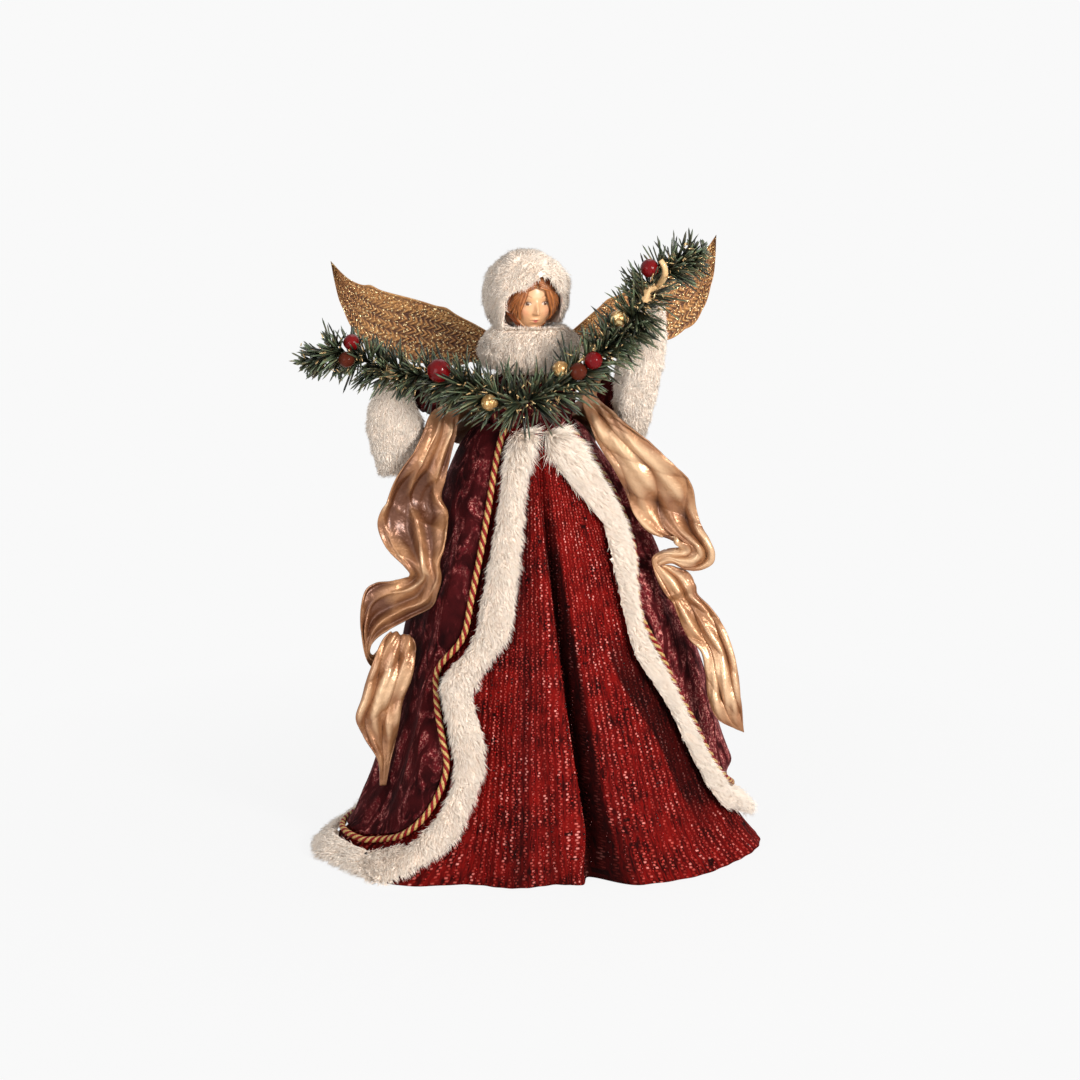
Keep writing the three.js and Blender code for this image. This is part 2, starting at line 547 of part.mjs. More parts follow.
// Robe border: places of its seam and of the free edge of its fur, as [angle, height]
const seamRight = along(SEAM_RIGHT);
const edgeRight = along(EDGE_RIGHT);
const seamLeft = along(SEAM_LEFT);
const edgeLeft = along(EDGE_LEFT);
const downTo = (floor, share) => lerp(WAIST_HEIGHT, floor, share);
const hemSeamHeight = (share) =>
  lerp(SEAM_HEIGHT_LEFT, SEAM_HEIGHT_RIGHT, THREE.MathUtils.smoothstep(share, 0, 1));
const hemEdgeHeight = (share) => hemSeamHeight(share) - HEM_BAND + HEM_LIFT;
const CORD_ROOM = CORD_RADIUS + 1; // from the seam to the cloth on either side

// That room measured level, where a front seam runs aslant
function cordRoom(seam, share) {
  const step = 0.03;
  const [a, b] = [clamp01(share - step), clamp01(share + step)];
  const drop = (b - a) * WAIST_HEIGHT;
  const run = (seam(b) - seam(a)) * DEG * skirtRadius(seam(share) * DEG, WAIST_HEIGHT * (1 - share));
  return 1.35 * CORD_ROOM * Math.min(3, Math.hypot(run, drop) / drop);
}

// Velvet robe: runs from the left seam round the back to the right seam
function robe() {
  const place = (u, v) => {
    const share = rowShare(v);
    const z = lerp(WAIST_HEIGHT, hemSeamHeight(u) + CORD_ROOM, share);
    const from = seamLeft(share) * DEG + cordRoom(seamLeft, share) / skirtRadius(seamLeft(share) * DEG, z);
    const to = seamRight(share) * DEG - cordRoom(seamRight, share) / skirtRadius(seamRight(share) * DEG, z);
    return [lerp(from, 2 * Math.PI + to, u), z];
  };
  const surface = (radius) => (u, v) => {
    const [angle, z] = place(u, v);
    return polar(angle, radius(angle, z), z);
  };
  add("robe", wall(surface(robeOutside), surface(robeInside), 32, CLOTH_ROWS + 3), VELVET, root);
}

// A band of fur between a seam line and a free edge, given as [angle, height] for a share along the band
function furBand(name, seam, edge, room, steps) {
  const surface = (lift) => (u, v) => {
    const [a, b] = [seam(v), edge(v)];
    const width = polar(a[0], skirtRadius(...a), a[1]).distanceTo(polar(b[0], skirtRadius(...b), b[1]));
    const across = lerp(room(v, width), 1, u); // leaves room for the cord beside the seam
    const [angle, z] = [lerp(a[0], b[0], across), lerp(a[1], b[1], across)];
    return polar(angle, skirtRadius(angle, z) + layerGap(z) + lift(u), z);
  };
  const pile = (u) => FUR_BACKING + FUR_PILE * Math.sqrt(Math.max(0, 4 * u * (1 - u)));
  add(name, wall(surface(pile), surface(() => 0), 4, steps), FUR, root);
}

function furBorder() {
  const startShare = 0.002; // keeps the ends of neighbouring bands apart
  furBand(
    "fur_band_right",
    (v) => [seamRight(v) * DEG, downTo(SEAM_HEIGHT_RIGHT, v)],
    (v) => [edgeRight(v) * DEG, downTo(hemEdgeHeight(1), v)],
    (v, width) => cordRoom(seamRight, v) / width,
    22,
  );
  furBand(
    "fur_band_left",
    (v) => [seamLeft(v) * DEG, downTo(SEAM_HEIGHT_LEFT, v)],
    (v) => [edgeLeft(v) * DEG, downTo(hemEdgeHeight(0), v)],
    (v, width) => cordRoom(seamLeft, v) / width,
    22,
  );
  const hemAngle = (from, to) => (v) =>
    lerp(from * DEG, 2 * Math.PI + to * DEG, lerp(startShare, 1 - startShare, v));
  const seamAngle = hemAngle(seamLeft(1), seamRight(1));
  const edgeAngle = hemAngle(edgeLeft(1), edgeRight(1));
  furBand(
    "fur_band_hem",
    (v) => [seamAngle(v), hemSeamHeight(v)],
    (v) => [edgeAngle(v), hemEdgeHeight(v)],
    () => CORD_ROOM / HEM_BAND,
    28,
  );
}

// Twisted cord sewn over the whole seam: down the left front, round the hem and up the right front
function seamCord() {
  const put = (angle, z) => polar(angle, skirtRadius(angle, z) + layerGap(z) + CORD_RADIUS + SEAT_GAP, z);
  const shares = (steps, count = steps) => Array.from({ length: count }, (_, i) => i / steps);
  const frontShares = shares(14);
  const hemTurn = (share) => lerp(seamLeft(1) * DEG, 2 * Math.PI + seamRight(1) * DEG, share);
  const points = [
    ...frontShares.map((share) => put(seamLeft(share) * DEG, downTo(SEAM_HEIGHT_LEFT, share))),
    ...shares(26, 27).map((share) => put(hemTurn(share), hemSeamHeight(share))),
    ...frontShares.reverse().map((share) => put(seamRight(share) * DEG, downTo(SEAM_HEIGHT_RIGHT, share))),
  ];
  add("seam_cord", tube(curveThrough(points), CORD_RADIUS, 54, 5), CORD, root);
}

// Gold stole: laid over each arm, with a tail that falls in folds and a swag across the back
function shareAt(arm, out) {
  let share = 0;
  const far = lerp(CHEST_WIDTH, ELBOW_OUT, out);
  while (share < 0.99 && Math.abs(arm.path.getPointAt(share).x) < far) share += 0.004;
  return share;
}

const stoleOn = (arm) => (arm.side > 0 ? STOLE_ARM_LEFT : STOLE_ARM_RIGHT).map((out) => shareAt(arm, out));

// A point round an arm's sleeve: share runs along the arm, turn from the top to the back
function roundSleeve(arm, share, turn) {
  const way = arm.path.getTangentAt(share);
  const over = UP.clone().projectOnPlane(way).normalize();
  const behind = vec(0, 1, 0).projectOnPlane(way).projectOnPlane(over).normalize();
  const radius = sleeveSize(share) + SEAT_GAP * 3 + STOLE_CLOTH / 2;
  const point = arm.path.getPointAt(share).addScaledVector(over, radius * Math.cos(turn * DEG));
  return point.addScaledVector(behind, radius * Math.sin(turn * DEG)).add(figure.position);
}

function offRobe([share, degrees, stand]) {
  const z = WAIST_HEIGHT * (1 - share);
  return polar(degrees * DEG, robeOutside(degrees * DEG, Math.min(z, WAIST_HEIGHT)) + stand, z);
}

function stoleTail(arm) {
  const turns = [STOLE_FRONT - 5, STOLE_FRONT - 34];
  const onSleeve = turns.map((turn) => stoleOn(arm).map((share) => roundSleeve(arm, share, turn)));
  const plan = arm.side > 0 ? STOLE_TAIL_LEFT : STOLE_TAIL_RIGHT;
  const stations = [...onSleeve, ...plan.map((ends) => ends.map(offRobe))];
  const [near, far] = [0, 1].map((k) => curveThrough(stations.map((ends) => ends[k])));
  const middle = curveThrough(stations.map(([a, b]) => a.clone().lerp(b, 0.5)));
  const swellings = (2 * Math.PI * middle.getLength()) / STOLE_PUFF_LENGTH;
  const surface = (u, v) => {
    const [a, b] = [near.getPoint(u), far.getPoint(u)];
    const swell = STOLE_PUFF * Math.sin(swellings * u) * THREE.MathUtils.smoothstep(u, 0.08, 0.2) * (1 - u);
    return a.lerp(b, v).add(vec(0, -4 * v * (1 - v) * swell, 0));
  };
  add(`stole_${sideName(arm)}`, sheet(surface, STOLE_CLOTH, 48, 2), LAME, root);
}

function stoleBack() {
  const wrap = (arm) => {
    const [from, to] = stoleOn(arm);
    return (u, v) => roundSleeve(arm, lerp(from, to, v), lerp(STOLE_FRONT, STOLE_BEHIND, u));
  };
  const ends = arms.map((arm) => wrap(arm)(0.8, 0.5));
  const swag = (u, v) => {
    const side = lerp(-1, 1, u);
    const end = ends[side < 0 ? 0 : 1];
    const endAngle = Math.atan2(end.x, -end.y) + (side < 0 ? 2 * Math.PI : 0);
    const angle = lerp(Math.PI, endAngle, Math.abs(side));
    const drop = lerp(STOLE_TOP + 6, STOLE_TOP - STOLE_BACK_WIDTH, v) - STOLE_SAG * (1 - side * side);
    const z = WAIST_HEIGHT + drop;
    const gathers = 2 + 2 * Math.cos(11 * v);
    const resting = robeOutside(angle, Math.min(z, WAIST_HEIGHT)) + STOLE_CLEARANCE + gathers;
    return polar(angle, Math.max(resting, lerp(resting, Math.hypot(end.x, end.y), side ** 4)), z);
  };
  const pieces = [...arms.map((arm) => sheet(wrap(arm), STOLE_CLOTH, 7, 2)), sheet(swag, STOLE_CLOTH, 11, 3)];
  add("stole_back", joined(pieces), LAME, root);
}

// Sleeves, cuffs, wires and hands
function cuffOf(arm) {
  const left = arm.side > 0;
  const [drop, lean, width] = left
    ? [CUFF_DROP_LEFT, CUFF_LEAN_LEFT, CUFF_WIDTH_LEFT]
    : [CUFF_DROP_RIGHT, CUFF_LEAN_RIGHT, CUFF_WIDTH_RIGHT];
  const top = arm.wrist.clone().add(vec(0, 4, -5));
  const fold = left ? 200 : 285; // where the crease lies, in degrees round the cuff
  const surface = (inset) => (u, v) => {
    const open = Math.sin(Math.min(1, v / 0.55) * Math.PI * 0.5) ** 0.8;
    const closing = lerp(1, CUFF_MOUTH, THREE.MathUtils.smoothstep(v, 0.55, 1));
    const turn = 2 * Math.PI * u;
    const crease = 1 - CUFF_FOLD * v * hump(turnFrom(turn, fold), 0, 26);
    const [w, d] = [width, CUFF_DEPTH].map((size) => lerp(CUFF_TOP_RADIUS, size, open) * closing);
    const centre = top.clone().add(vec(-arm.side * lean * v, 16 * v, -drop * v));
    return centre.add(vec((w - inset) * crease * Math.cos(turn), (d - inset) * crease * Math.sin(turn), 0));
  };
  return wall(surface(0), surface(CUFF_PILE), 13, 4, true);
}

function handOf(arm) {
  const pieces = [];
  const grip = STEM_RADIUS + FINGER_RADIUS + SEAT_GAP * 2;
  const across = arm.reachWay.clone().cross(arm.stemWay).normalize();
  const around = (turn, shift) =>
    arm.hold
      .clone()
      .addScaledVector(arm.stemWay, shift)
      .addScaledVector(arm.reachWay, -grip * Math.cos(turn))
      .addScaledVector(across, grip * Math.sin(turn));
  const curl = (shift, from, to, thick) => {
    const bend = Array.from({ length: 5 }, (_, i) => around(lerp(from, to, i / 4) * DEG, shift));
    pieces.push(tube(curveThrough(bend), (s) => thick * (1 - 0.25 * s), 3, 4));
  };
  const [start, end] = FINGER_CURL;
  for (const place of [-1.5, -0.5, 0.5, 1.5])
    curl(place * FINGER_RADIUS * 1.75, start, end - FINGER_SHORTER * Math.abs(place), FINGER_RADIUS);
  curl(FINGER_RADIUS * 3.2, ...THUMB_CURL, FINGER_RADIUS * 1.15);
  const held = [-1, 1].map((end) => arm.hold.clone().addScaledVector(arm.stemWay, end * FINGER_RADIUS * 2.9));
  pieces.push(tube(new THREE.LineCurve3(...held), grip + FINGER_RADIUS * 0.4, 1, 6)); // flesh round the stem
  const palm = new THREE.SphereGeometry(PALM_RADIUS, 7, 4).scale(1, 0.8, 0.55);
  const turn = new THREE.Matrix4().makeBasis(arm.stemWay, across, arm.reachWay);
  turn.setPosition(arm.heel.clone().addScaledVector(arm.reachWay, PALM_RADIUS * 0.15));
  pieces.push(palm.applyMatrix4(turn));
  const wristEnd = arm.path.getPointAt(0.93);
  pieces.push(tube(new THREE.LineCurve3(arm.heel, wristEnd), (s) => WRIST_RADIUS * (1 - 0.1 * s), 1, 6));
  const palmShare = PALM_RADIUS / stem.getLength();
  const roomEnds = [-3, -1, 1, 3].map((place) => stem.getPointAt(clamp01(arm.grip + place * palmShare)));
  const stemRoom = tube(curveThrough(roomEnds), STEM_RADIUS + SEAT_GAP * 2, 3, 6);
  return cut(joined(pieces), [stemRoom, wireTube(arm, SEAT_GAP)]);
}

function armsAndHands() {
  for (const arm of arms) {
    const name = sideName(arm);
    add(`arm_wire_${name}`, wireTube(arm), WIRE);
    const hand = handOf(arm);
    add(`hand_${name}`, hand, RESIN_SKIN);
    const wireRoom = wireTube(arm, SEAT_GAP);
    add(`sleeve_${name}`, cut(sleeveTube(arm), [wireRoom, torsoRoom()]), VELVET);
    const wristLine = new THREE.LineCurve3(arm.heel, arm.path.getPointAt(0.9));
    const handRoom = tube(wristLine, WRIST_RADIUS + SEAT_GAP * 2, 2, 10);
    add(`fur_cuff_${name}`, cut(cuffOf(arm), [sleeveTube(arm, SEAT_GAP), wireRoom, handRoom]), FUR);
  }
}

// Garland: four sprigs end to end, each a wire stem with needles set round it
const needleShare = (i, share) => lerp(0.02, 0.98, (i + 0.5) / share);
const GOLDEN_TURN = 137.5;

// Frame of the stem at a share of its length: its way, and the direction at an angle from the front
function stemFrame(share) {
  const way = stem.getTangentAt(share);
  const front = vec(0, -1, 0).projectOnPlane(way).normalize();
  const side = way.clone().cross(front);
  const out = (degrees) =>
    front.clone().multiplyScalar(Math.cos(degrees * DEG)).addScaledVector(side, -Math.sin(degrees * DEG));
  return { point: stem.getPointAt(share), way, out };
}

const berries = BERRIES.map(([colour, share, degrees, radius], i) => {
  const { point, out } = stemFrame(share);
  const way = out(degrees);
  const number = BERRIES.slice(0, i + 1).filter((b) => b[0] === colour).length;
  const centre = point.clone().addScaledVector(way, BERRY_STAND);
  return { colour, radius, way, point, centre, name: `berry_${colour}_${number}` };
});

const segmentGap = (p, a, b) =>
  new THREE.Line3(a, b).closestPointToPoint(p, true, vec(0, 0, 0)).distanceTo(p);

// What the needles keep clear of: [from, to, distance]
const belowWrist = (arm, back, down) => arm.wrist.clone().add(vec(0, back, -down));
const keepOuts = [
  ...berries.map((b) => [b.centre, b.centre, b.radius + NEEDLE_RADIUS + 0.8]),
  ...berries.map((b) => [b.point, b.centre, NEEDLE_RADIUS * 2 + 1]),
  ...arms.map((arm) => [arm.hold, arm.wrist, PALM_RADIUS + FINGER_RADIUS + 1.5]),
  ...arms.map((arm) => [arm.wrist, arm.path.getPointAt(SLEEVE_END), SLEEVE_RADIUS]),
  ...arms.map((arm) => [belowWrist(arm, 6, 10), belowWrist(arm, 14, CUFF_DROP_RIGHT - 12), CUFF_WIDTH_RIGHT + 1]),
];

function garland() {
  const gap = SEAT_GAP / 2 / stem.getLength();
  for (let k = 0; k < SPRIG_COUNT; k++) {
    const [from, to] = [k / SPRIG_COUNT + gap, (k + 1) / SPRIG_COUNT - gap];
    const line = curveThrough(Array.from({ length: 11 }, (_, i) => stem.getPointAt(lerp(from, to, i / 10))));
    const pieces = [tube(line, STEM_RADIUS, 7, 4)];
    for (let i = 0; i < NEEDLES_PER_SPRIG; i++) {
      const share = lerp(from, to, needleShare(i, NEEDLES_PER_SPRIG));
      const { point, way, out } = stemFrame(share);
      const lean = out(i * GOLDEN_TURN).multiplyScalar(Math.sin(NEEDLE_LEAN * DEG));
      lean.addScaledVector(way, (k < SPRIG_COUNT / 2 ? -1 : 1) * Math.cos(NEEDLE_LEAN * DEG)).normalize();
      const length = NEEDLE_LENGTH * (0.85 + 0.15 * Math.cos(i * 2.4));
      const tip = point.clone().addScaledVector(lean, length);
      const probes = [0.15, 0.4, 0.7, 1].map((s) => point.clone().lerp(tip, s));
      if (keepOuts.some(([a, b, room]) => probes.some((p) => segmentGap(p, a, b) < room))) continue;
      const needle = new THREE.ConeGeometry(NEEDLE_RADIUS, length, 3).translate(0, length / 2, 0);
      needle.applyQuaternion(new THREE.Quaternion().setFromUnitVectors(vec(0, 1, 0), lean));
      needle.translate(...point.clone().addScaledVector(lean, STEM_RADIUS * 0.4).toArray());
      pieces.push(needle);
    }
    add(`garland_sprig_${k + 1}`, joined(pieces), PINE);
  }
  for (const berry of berries) {
    const stalkEnd = berry.point.clone().addScaledVector(berry.way, STEM_RADIUS + SEAT_GAP);
    const stalk = tube(new THREE.LineCurve3(stalkEnd, berry.centre), 0.55, 1, 3);
    const fruit = new THREE.IcosahedronGeometry(berry.radius, 1).translate(...berry.centre.toArray());
    add(berry.name, joined([stalk, fruit]), BERRY[berry.colour]);
  }
}

// Collar: a thick roll round the neck, fuller at the front
const COLLAR_MIDDLE = TORSO_RISE + COLLAR_TALL * 0.72;

function collar() {
  const ring = (turn) => {
    const front = 0.5 - 0.5 * Math.sin(turn); // 1 at the front, 0 at the back
    const reach = COLLAR_RING + COLLAR_FRONT * front - 2;
    return Array.from({ length: 10 }, (_, i) => {
      const around = (2 * Math.PI * i) / 10;
      const thick = COLLAR_THICK * (0.86 + 0.14 * front);
      const r = reach + thick * Math.cos(around);
      const z = COLLAR_MIDDLE + COLLAR_TALL * Math.sin(around);
      return vec(r * Math.cos(turn), r * Math.sin(turn) * 0.94, z);
    });
  };
  const surface = (u, v) => ring(2 * Math.PI * u)[Math.round(v * 10) % 10];
  const columns = 20;
  const points = [];
  const triangles = [];
  for (let j = 0; j < columns; j++) for (let i = 0; i < 10; i++) points.push(surface(j / columns, i / 10));
  const at = (j, i) => (j % columns) * 10 + (i % 10);
  for (let j = 0; j < columns; j++)
    for (let i = 0; i < 10; i++)
      triangles.push([at(j, i), at(j + 1, i), at(j + 1, i + 1)], [at(j, i), at(j + 1, i + 1), at(j, i + 1)]);
  const sleeves = arms.map((arm) => sleeveTube(arm, SEAT_GAP));
  add("fur_collar", cut(geometryOf(points, triangles), [torsoRoom(), ...sleeves]), FUR);
}

// Head: one casting of neck, face and moulded hair, turning on the neck post
const HEAD_MIDDLE = TORSO_RISE + CHIN_RISE + HEAD_TALL;
const headTurn = new THREE.Matrix4()
  .makeTranslation(0, 0, HEAD_MIDDLE)
  .multiply(new THREE.Matrix4().makeRotationZ(HEAD_YAW * DEG))
  .multiply(new THREE.Matrix4().makeRotationX(HEAD_NOD * DEG));

// Face relief in shares of the head's half sizes: [across, up, width, height, how far it stands out]
const FACE_RELIEF = [
  [0, -0.1, 0.13, 0.2, 0.12], [0, -0.2, 0.16, 0.1, 0.1], [0, -0.47, 0.26, 0.1, 0.05],
  [0, -0.78, 0.3, 0.16, 0.07],
  [-0.4, 0.06, 0.2, 0.13, -0.08], [0.4, 0.06, 0.2, 0.13, -0.08], [-0.5, -0.25, 0.28, 0.26, 0.04],
  [0.5, -0.25, 0.28, 0.26, 0.04],
];

function head() {
  const [across, down] = [18, 13];
  const rings = [];
  for (let j = 1; j < down; j++) {
    const tilt = (Math.PI * j) / down;
    rings.push(
      Array.from({ length: across }, (_, i) => {
        const turn = (2 * Math.PI * i) / across;
        const [x, y, z] = [Math.sin(tilt) * Math.sin(turn), -Math.sin(tilt) * Math.cos(turn), Math.cos(tilt)];
        const jaw = 1 - 0.3 * THREE.MathUtils.smoothstep(-z, 0.05, 1);
        const facing = THREE.MathUtils.smoothstep(-y, 0.1, 0.5);
        const raised = FACE_RELIEF.map(([a, b, w, h, out]) => out * hump(x, a, w) * hump(z, b, h));
        const relief = raised.reduce((sum, height) => sum + height, 0);
        const behind = 1 - THREE.MathUtils.smoothstep(-y, 0.42, 0.62);
        const hair = Math.max(behind, THREE.MathUtils.smoothstep(z, 0.42, 0.6));
        const wave = HAIR_THICK * hair * (0.72 + 0.28 * Math.sin(11 * turn + 7 * z));
        return vec(
          x * (HEAD_WIDTH * jaw + wave),
          y * (HEAD_DEPTH * lerp(1, 0.93, facing) + wave) - relief * facing * HEAD_DEPTH,
          z * (HEAD_TALL + wave * (z > 0 ? 1 : 0)),
        );
      }),
    );
  }
  const skull = loft(rings).applyMatrix4(headTurn);
  const neck = rod(NECK_RADIUS, TORSO_RISE + SEAT_GAP, TORSO_RISE + CHIN_RISE + 8);
  const postTop = TORSO_RISE + CHIN_RISE + NECK_POST_TOP;
  const bore = rod(NECK_POST_RADIUS + TURN_GAP, TORSO_RISE - 1, postTop + TURN_GAP);
  add("head", cut(joined([skull, neck]), [bore]), RESIN_SKIN);
}

// Hat: a puffed fur hood with an arched opening for the face, cut to fit over the hair
function hat() {
  const grown = (extra, lift = 0) => {
    const sizes = [HEAD_WIDTH + extra, HEAD_DEPTH + extra, HEAD_TALL + extra * 0.6];
    return ball(0, 0, lift, ...sizes.map((size) => size + HAIR_THICK), 16, 9);
  };
  const puff = grown(HAT_PUFF, 1.5).translate(-2, 3, 0);
  const arch = new THREE.Shape();
  const archSide = FACE_ARCH_RISE - FACE_ARCH_WIDTH / 2;
  arch.moveTo(-FACE_ARCH_WIDTH, -HEAD_TALL * 2);
  arch.lineTo(FACE_ARCH_WIDTH, -HEAD_TALL * 2);
  arch.lineTo(FACE_ARCH_WIDTH, archSide);
  arch.quadraticCurveTo(FACE_ARCH_WIDTH, FACE_ARCH_RISE, 0, FACE_ARCH_RISE);
  arch.quadraticCurveTo(-FACE_ARCH_WIDTH, FACE_ARCH_RISE, -FACE_ARCH_WIDTH, archSide);
  const reach = HEAD_DEPTH * 3;
  const opening = new THREE.ExtrudeGeometry(arch, { depth: reach, bevelEnabled: false, curveSegments: 4 });
  opening.rotateX(Math.PI / 2).applyMatrix4(headTurn);
  const collarTop = COLLAR_MIDDLE + COLLAR_TALL + HAT_CLEARANCE;
  const below = new THREE.BoxGeometry(reach * 2, reach * 2, reach * 2).translate(0, 0, collarTop - reach);
  const shell = puff.applyMatrix4(headTurn);
  add("fur_hat", cut(shell, [grown(SEAT_GAP * 2).applyMatrix4(headTurn), opening, below]), FUR);
}

// Wings: a cambered plate with feathered trailing edge, a root tab and a peg that turns in the bracket
function wingOf(side) {
  const axisOf = (outline, axis) => along(outline.map((point, i) => [point[axis], i / (outline.length - 1)]));
  const [leadingOut, leadingUp] = [0, 1].map((axis) => axisOf(WING_LEADING, axis));
  const [trailingOut, trailingUp] = [0, 1].map((axis) => axisOf(WING_TRAILING, axis));
  const sweep = Math.tan(WING_SWEEP * DEG);
  const face = (sign) => (u, v) => {
    const feathered = (1 - u) * clamp01(6 * u - 0.4); // from near the root, fading towards the tip
    const scallop = FEATHER_TIP * v ** 4 * Math.abs(Math.sin(Math.PI * FEATHERS * u)) * feathered;
    const flatOut = lerp(leadingOut(u), trailingOut(u), v);
    const flatUp = lerp(leadingUp(u), trailingUp(u), v) - scallop - WING_LEADING[0][1];
    const bent = side > 0 ? WING_LIFT_LEFT * DEG * THREE.MathUtils.smoothstep(u, 0, 0.3) : 0;
    const out = flatOut * Math.cos(bent) - flatUp * Math.sin(bent);
    const up = WING_LEADING[0][1] + flatUp * Math.cos(bent) + flatOut * Math.sin(bent);
    const tier = v < 0.3 ? 1 : v < 0.62 ? 0.72 : 0.5; // coverts over secondaries over primaries
    const thick = (WING_THICK / 2) * tier * (1 - 0.55 * u);
    const bow = WING_CAMBER * Math.sin(Math.PI * u) * (1 - v * 0.7);
    return vec(side * out, out * sweep - bow + sign * thick, up);
  };
  const plate = wall(face(-1), face(1), 19, 6);
  const rootUp = WING_TRAILING[0][1];
  const peg = rod(PEG_RADIUS, rootUp - PEG_LENGTH, WING_LEADING[0][1] - 2);
  const blade = joined([plate, peg]).translate(side * HINGE_OUT, HINGE_BACK, BRACKET_RISE);
  add(side > 0 ? "wing_left" : "wing_right", blade, GILT);
}

function bracket() {
  const rootUp = WING_TRAILING[0][1];
  const socketTop = rootUp - ROOT_CLEARANCE;
  const socketRadius = PEG_RADIUS + TURN_GAP + SOCKET_WALL;
  const pegFoot = rootUp - PEG_LENGTH;
  const pieces = [];
  const bores = [];
  const plateBack = CHEST_DEPTH + BODICE_CLOTH + SEAT_GAP;
  const low = pegFoot - SOCKET_BASE - SEAT_GAP;
  for (const side of [-1, 1]) {
    const bore = rod(PEG_RADIUS + TURN_GAP, pegFoot - SEAT_GAP, socketTop + SOCKET_WALL);
    pieces.push(rod(socketRadius, low, socketTop).translate(side * HINGE_OUT, HINGE_BACK, 0));
    bores.push(bore.translate(side * HINGE_OUT, HINGE_BACK, 0));
    const strut = new THREE.BoxGeometry(BRACKET_STRUT, HINGE_BACK - plateBack, socketTop - low);
    pieces.push(strut.translate(side * HINGE_OUT, (HINGE_BACK + plateBack) / 2, (low + socketTop) / 2));
  }
  const plate = new THREE.BoxGeometry(HINGE_OUT * 2 + BRACKET_STRUT, BRACKET_PLATE, socketTop - low);
  pieces.push(plate.translate(0, plateBack + BRACKET_PLATE / 2, (low + socketTop) / 2));
  const room = torsoRoom().translate(0, 0, -BRACKET_RISE);
  add("wing_bracket", cut(joined(pieces), [...bores, room]).translate(0, 0, BRACKET_RISE), GILT);
}

treeCone();
torsoAndBodice();
underskirt();
robe();
furBorder();
seamCord();
arms.forEach(stoleTail);
stoleBack();
armsAndHands();
garland();
collar();
head();
hat();
bracket();
wingOf(-1);
wingOf(1);

export default root;
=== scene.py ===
"""Looks of the angel tree topper: cloth, fur, pine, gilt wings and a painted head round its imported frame.

Lengths are millimetres unless a name says otherwise, and meshes are stored in metres.
The figure faces -Y and its left hand is at +X. Angles round the figure start at the front.
"""
import logging
import math
from collections.abc import Callable, Sequence
from dataclasses import dataclass, field
from enum import Enum

import bmesh
import bpy
import numpy as np
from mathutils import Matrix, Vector
from mathutils.bvhtree import BVHTree


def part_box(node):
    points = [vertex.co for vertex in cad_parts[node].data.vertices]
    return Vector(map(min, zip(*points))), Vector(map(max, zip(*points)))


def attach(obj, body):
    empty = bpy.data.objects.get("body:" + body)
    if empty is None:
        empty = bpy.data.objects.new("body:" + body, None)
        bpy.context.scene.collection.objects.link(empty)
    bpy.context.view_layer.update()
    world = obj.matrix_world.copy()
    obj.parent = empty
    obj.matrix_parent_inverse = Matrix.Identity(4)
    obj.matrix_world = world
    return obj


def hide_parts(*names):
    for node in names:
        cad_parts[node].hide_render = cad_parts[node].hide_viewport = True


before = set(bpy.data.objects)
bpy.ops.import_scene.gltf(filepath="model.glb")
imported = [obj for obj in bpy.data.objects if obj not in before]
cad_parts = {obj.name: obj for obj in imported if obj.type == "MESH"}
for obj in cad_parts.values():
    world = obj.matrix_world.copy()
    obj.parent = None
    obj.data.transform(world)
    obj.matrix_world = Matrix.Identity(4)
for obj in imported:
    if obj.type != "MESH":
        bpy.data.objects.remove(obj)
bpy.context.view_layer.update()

LOG = logging.getLogger("angel_tree_topper")
MM = 0.001
CONE_TOP = 268.0
FLOOR_CLEARANCE = 0.4
WAVES = 9
FULL_TURN = 2.0 * np.pi
Array = np.ndarray
Value = float | np.ndarray
Place = tuple[float, float, float]
Colour = tuple[float, float, float, float]
Object = bpy.types.Object
Node = bpy.types.Node
Socket = bpy.types.NodeSocket
Tree = bpy.types.NodeTree
Input = Socket | float | str | Place | Colour


class Body(str, Enum):
    """Bodies of the frame that pieces ride on."""

    FIGURE = "figure"
    HEAD = "head"
    LEFT_WING = "left_wing"
    RIGHT_WING = "right_wing"


class Side(Enum):
    """The figure's own sides, with the sign of X there."""

    RIGHT = -1
    LEFT = 1

    @property
    def word(self) -> str:
        """The side's name in lower case."""
        return self.name.lower()


class Slot(str, Enum):
    """Material slots of the record."""

    VELVET = "velvet"
    SEQUIN_CLOTH = "sequin_cloth"
    LAME = "lame"
    FUR = "fur"
    CORD = "cord"
    RESIN = "resin"
    GILT = "gilt"
    PINE = "pine"
    BERRY_RED = "berry_red"
    BERRY_BROWN = "berry_brown"
    BERRY_GOLD = "berry_gold"


# Small sums


def lerp(a: Value, b: Value, t: Value) -> Value:
    """The value a share t of the way from a to b."""
    return a + (b - a) * t


def smoothstep(x: Value, low: float, high: float) -> Value:
    """A soft step from 0 at low to 1 at high."""
    t = np.clip((x - low) / (high - low), 0.0, 1.0)
    return t * t * (3.0 - 2.0 * t)


def fall(x: Value, low: float, high: float) -> Value:
    """A soft step from 1 at low to 0 at high."""
    return 1.0 - smoothstep(x, low, high)


def hump(x: Value, width: float) -> Value:
    """A bell of height 1 at 0."""
    return np.exp(-((x / width) ** 2))


def unit(vectors: Array) -> Array:
    """Vectors of length 1 the same way."""
    return vectors / np.maximum(np.linalg.norm(vectors, axis=-1, keepdims=True), 1e-9)


def crease(x: Array) -> Array:
    """A wave from -1 to 1 with sharp ridges and broad hollows."""
    return 1.0 - 2.0 * np.abs(np.sin(x)) ** 0.8


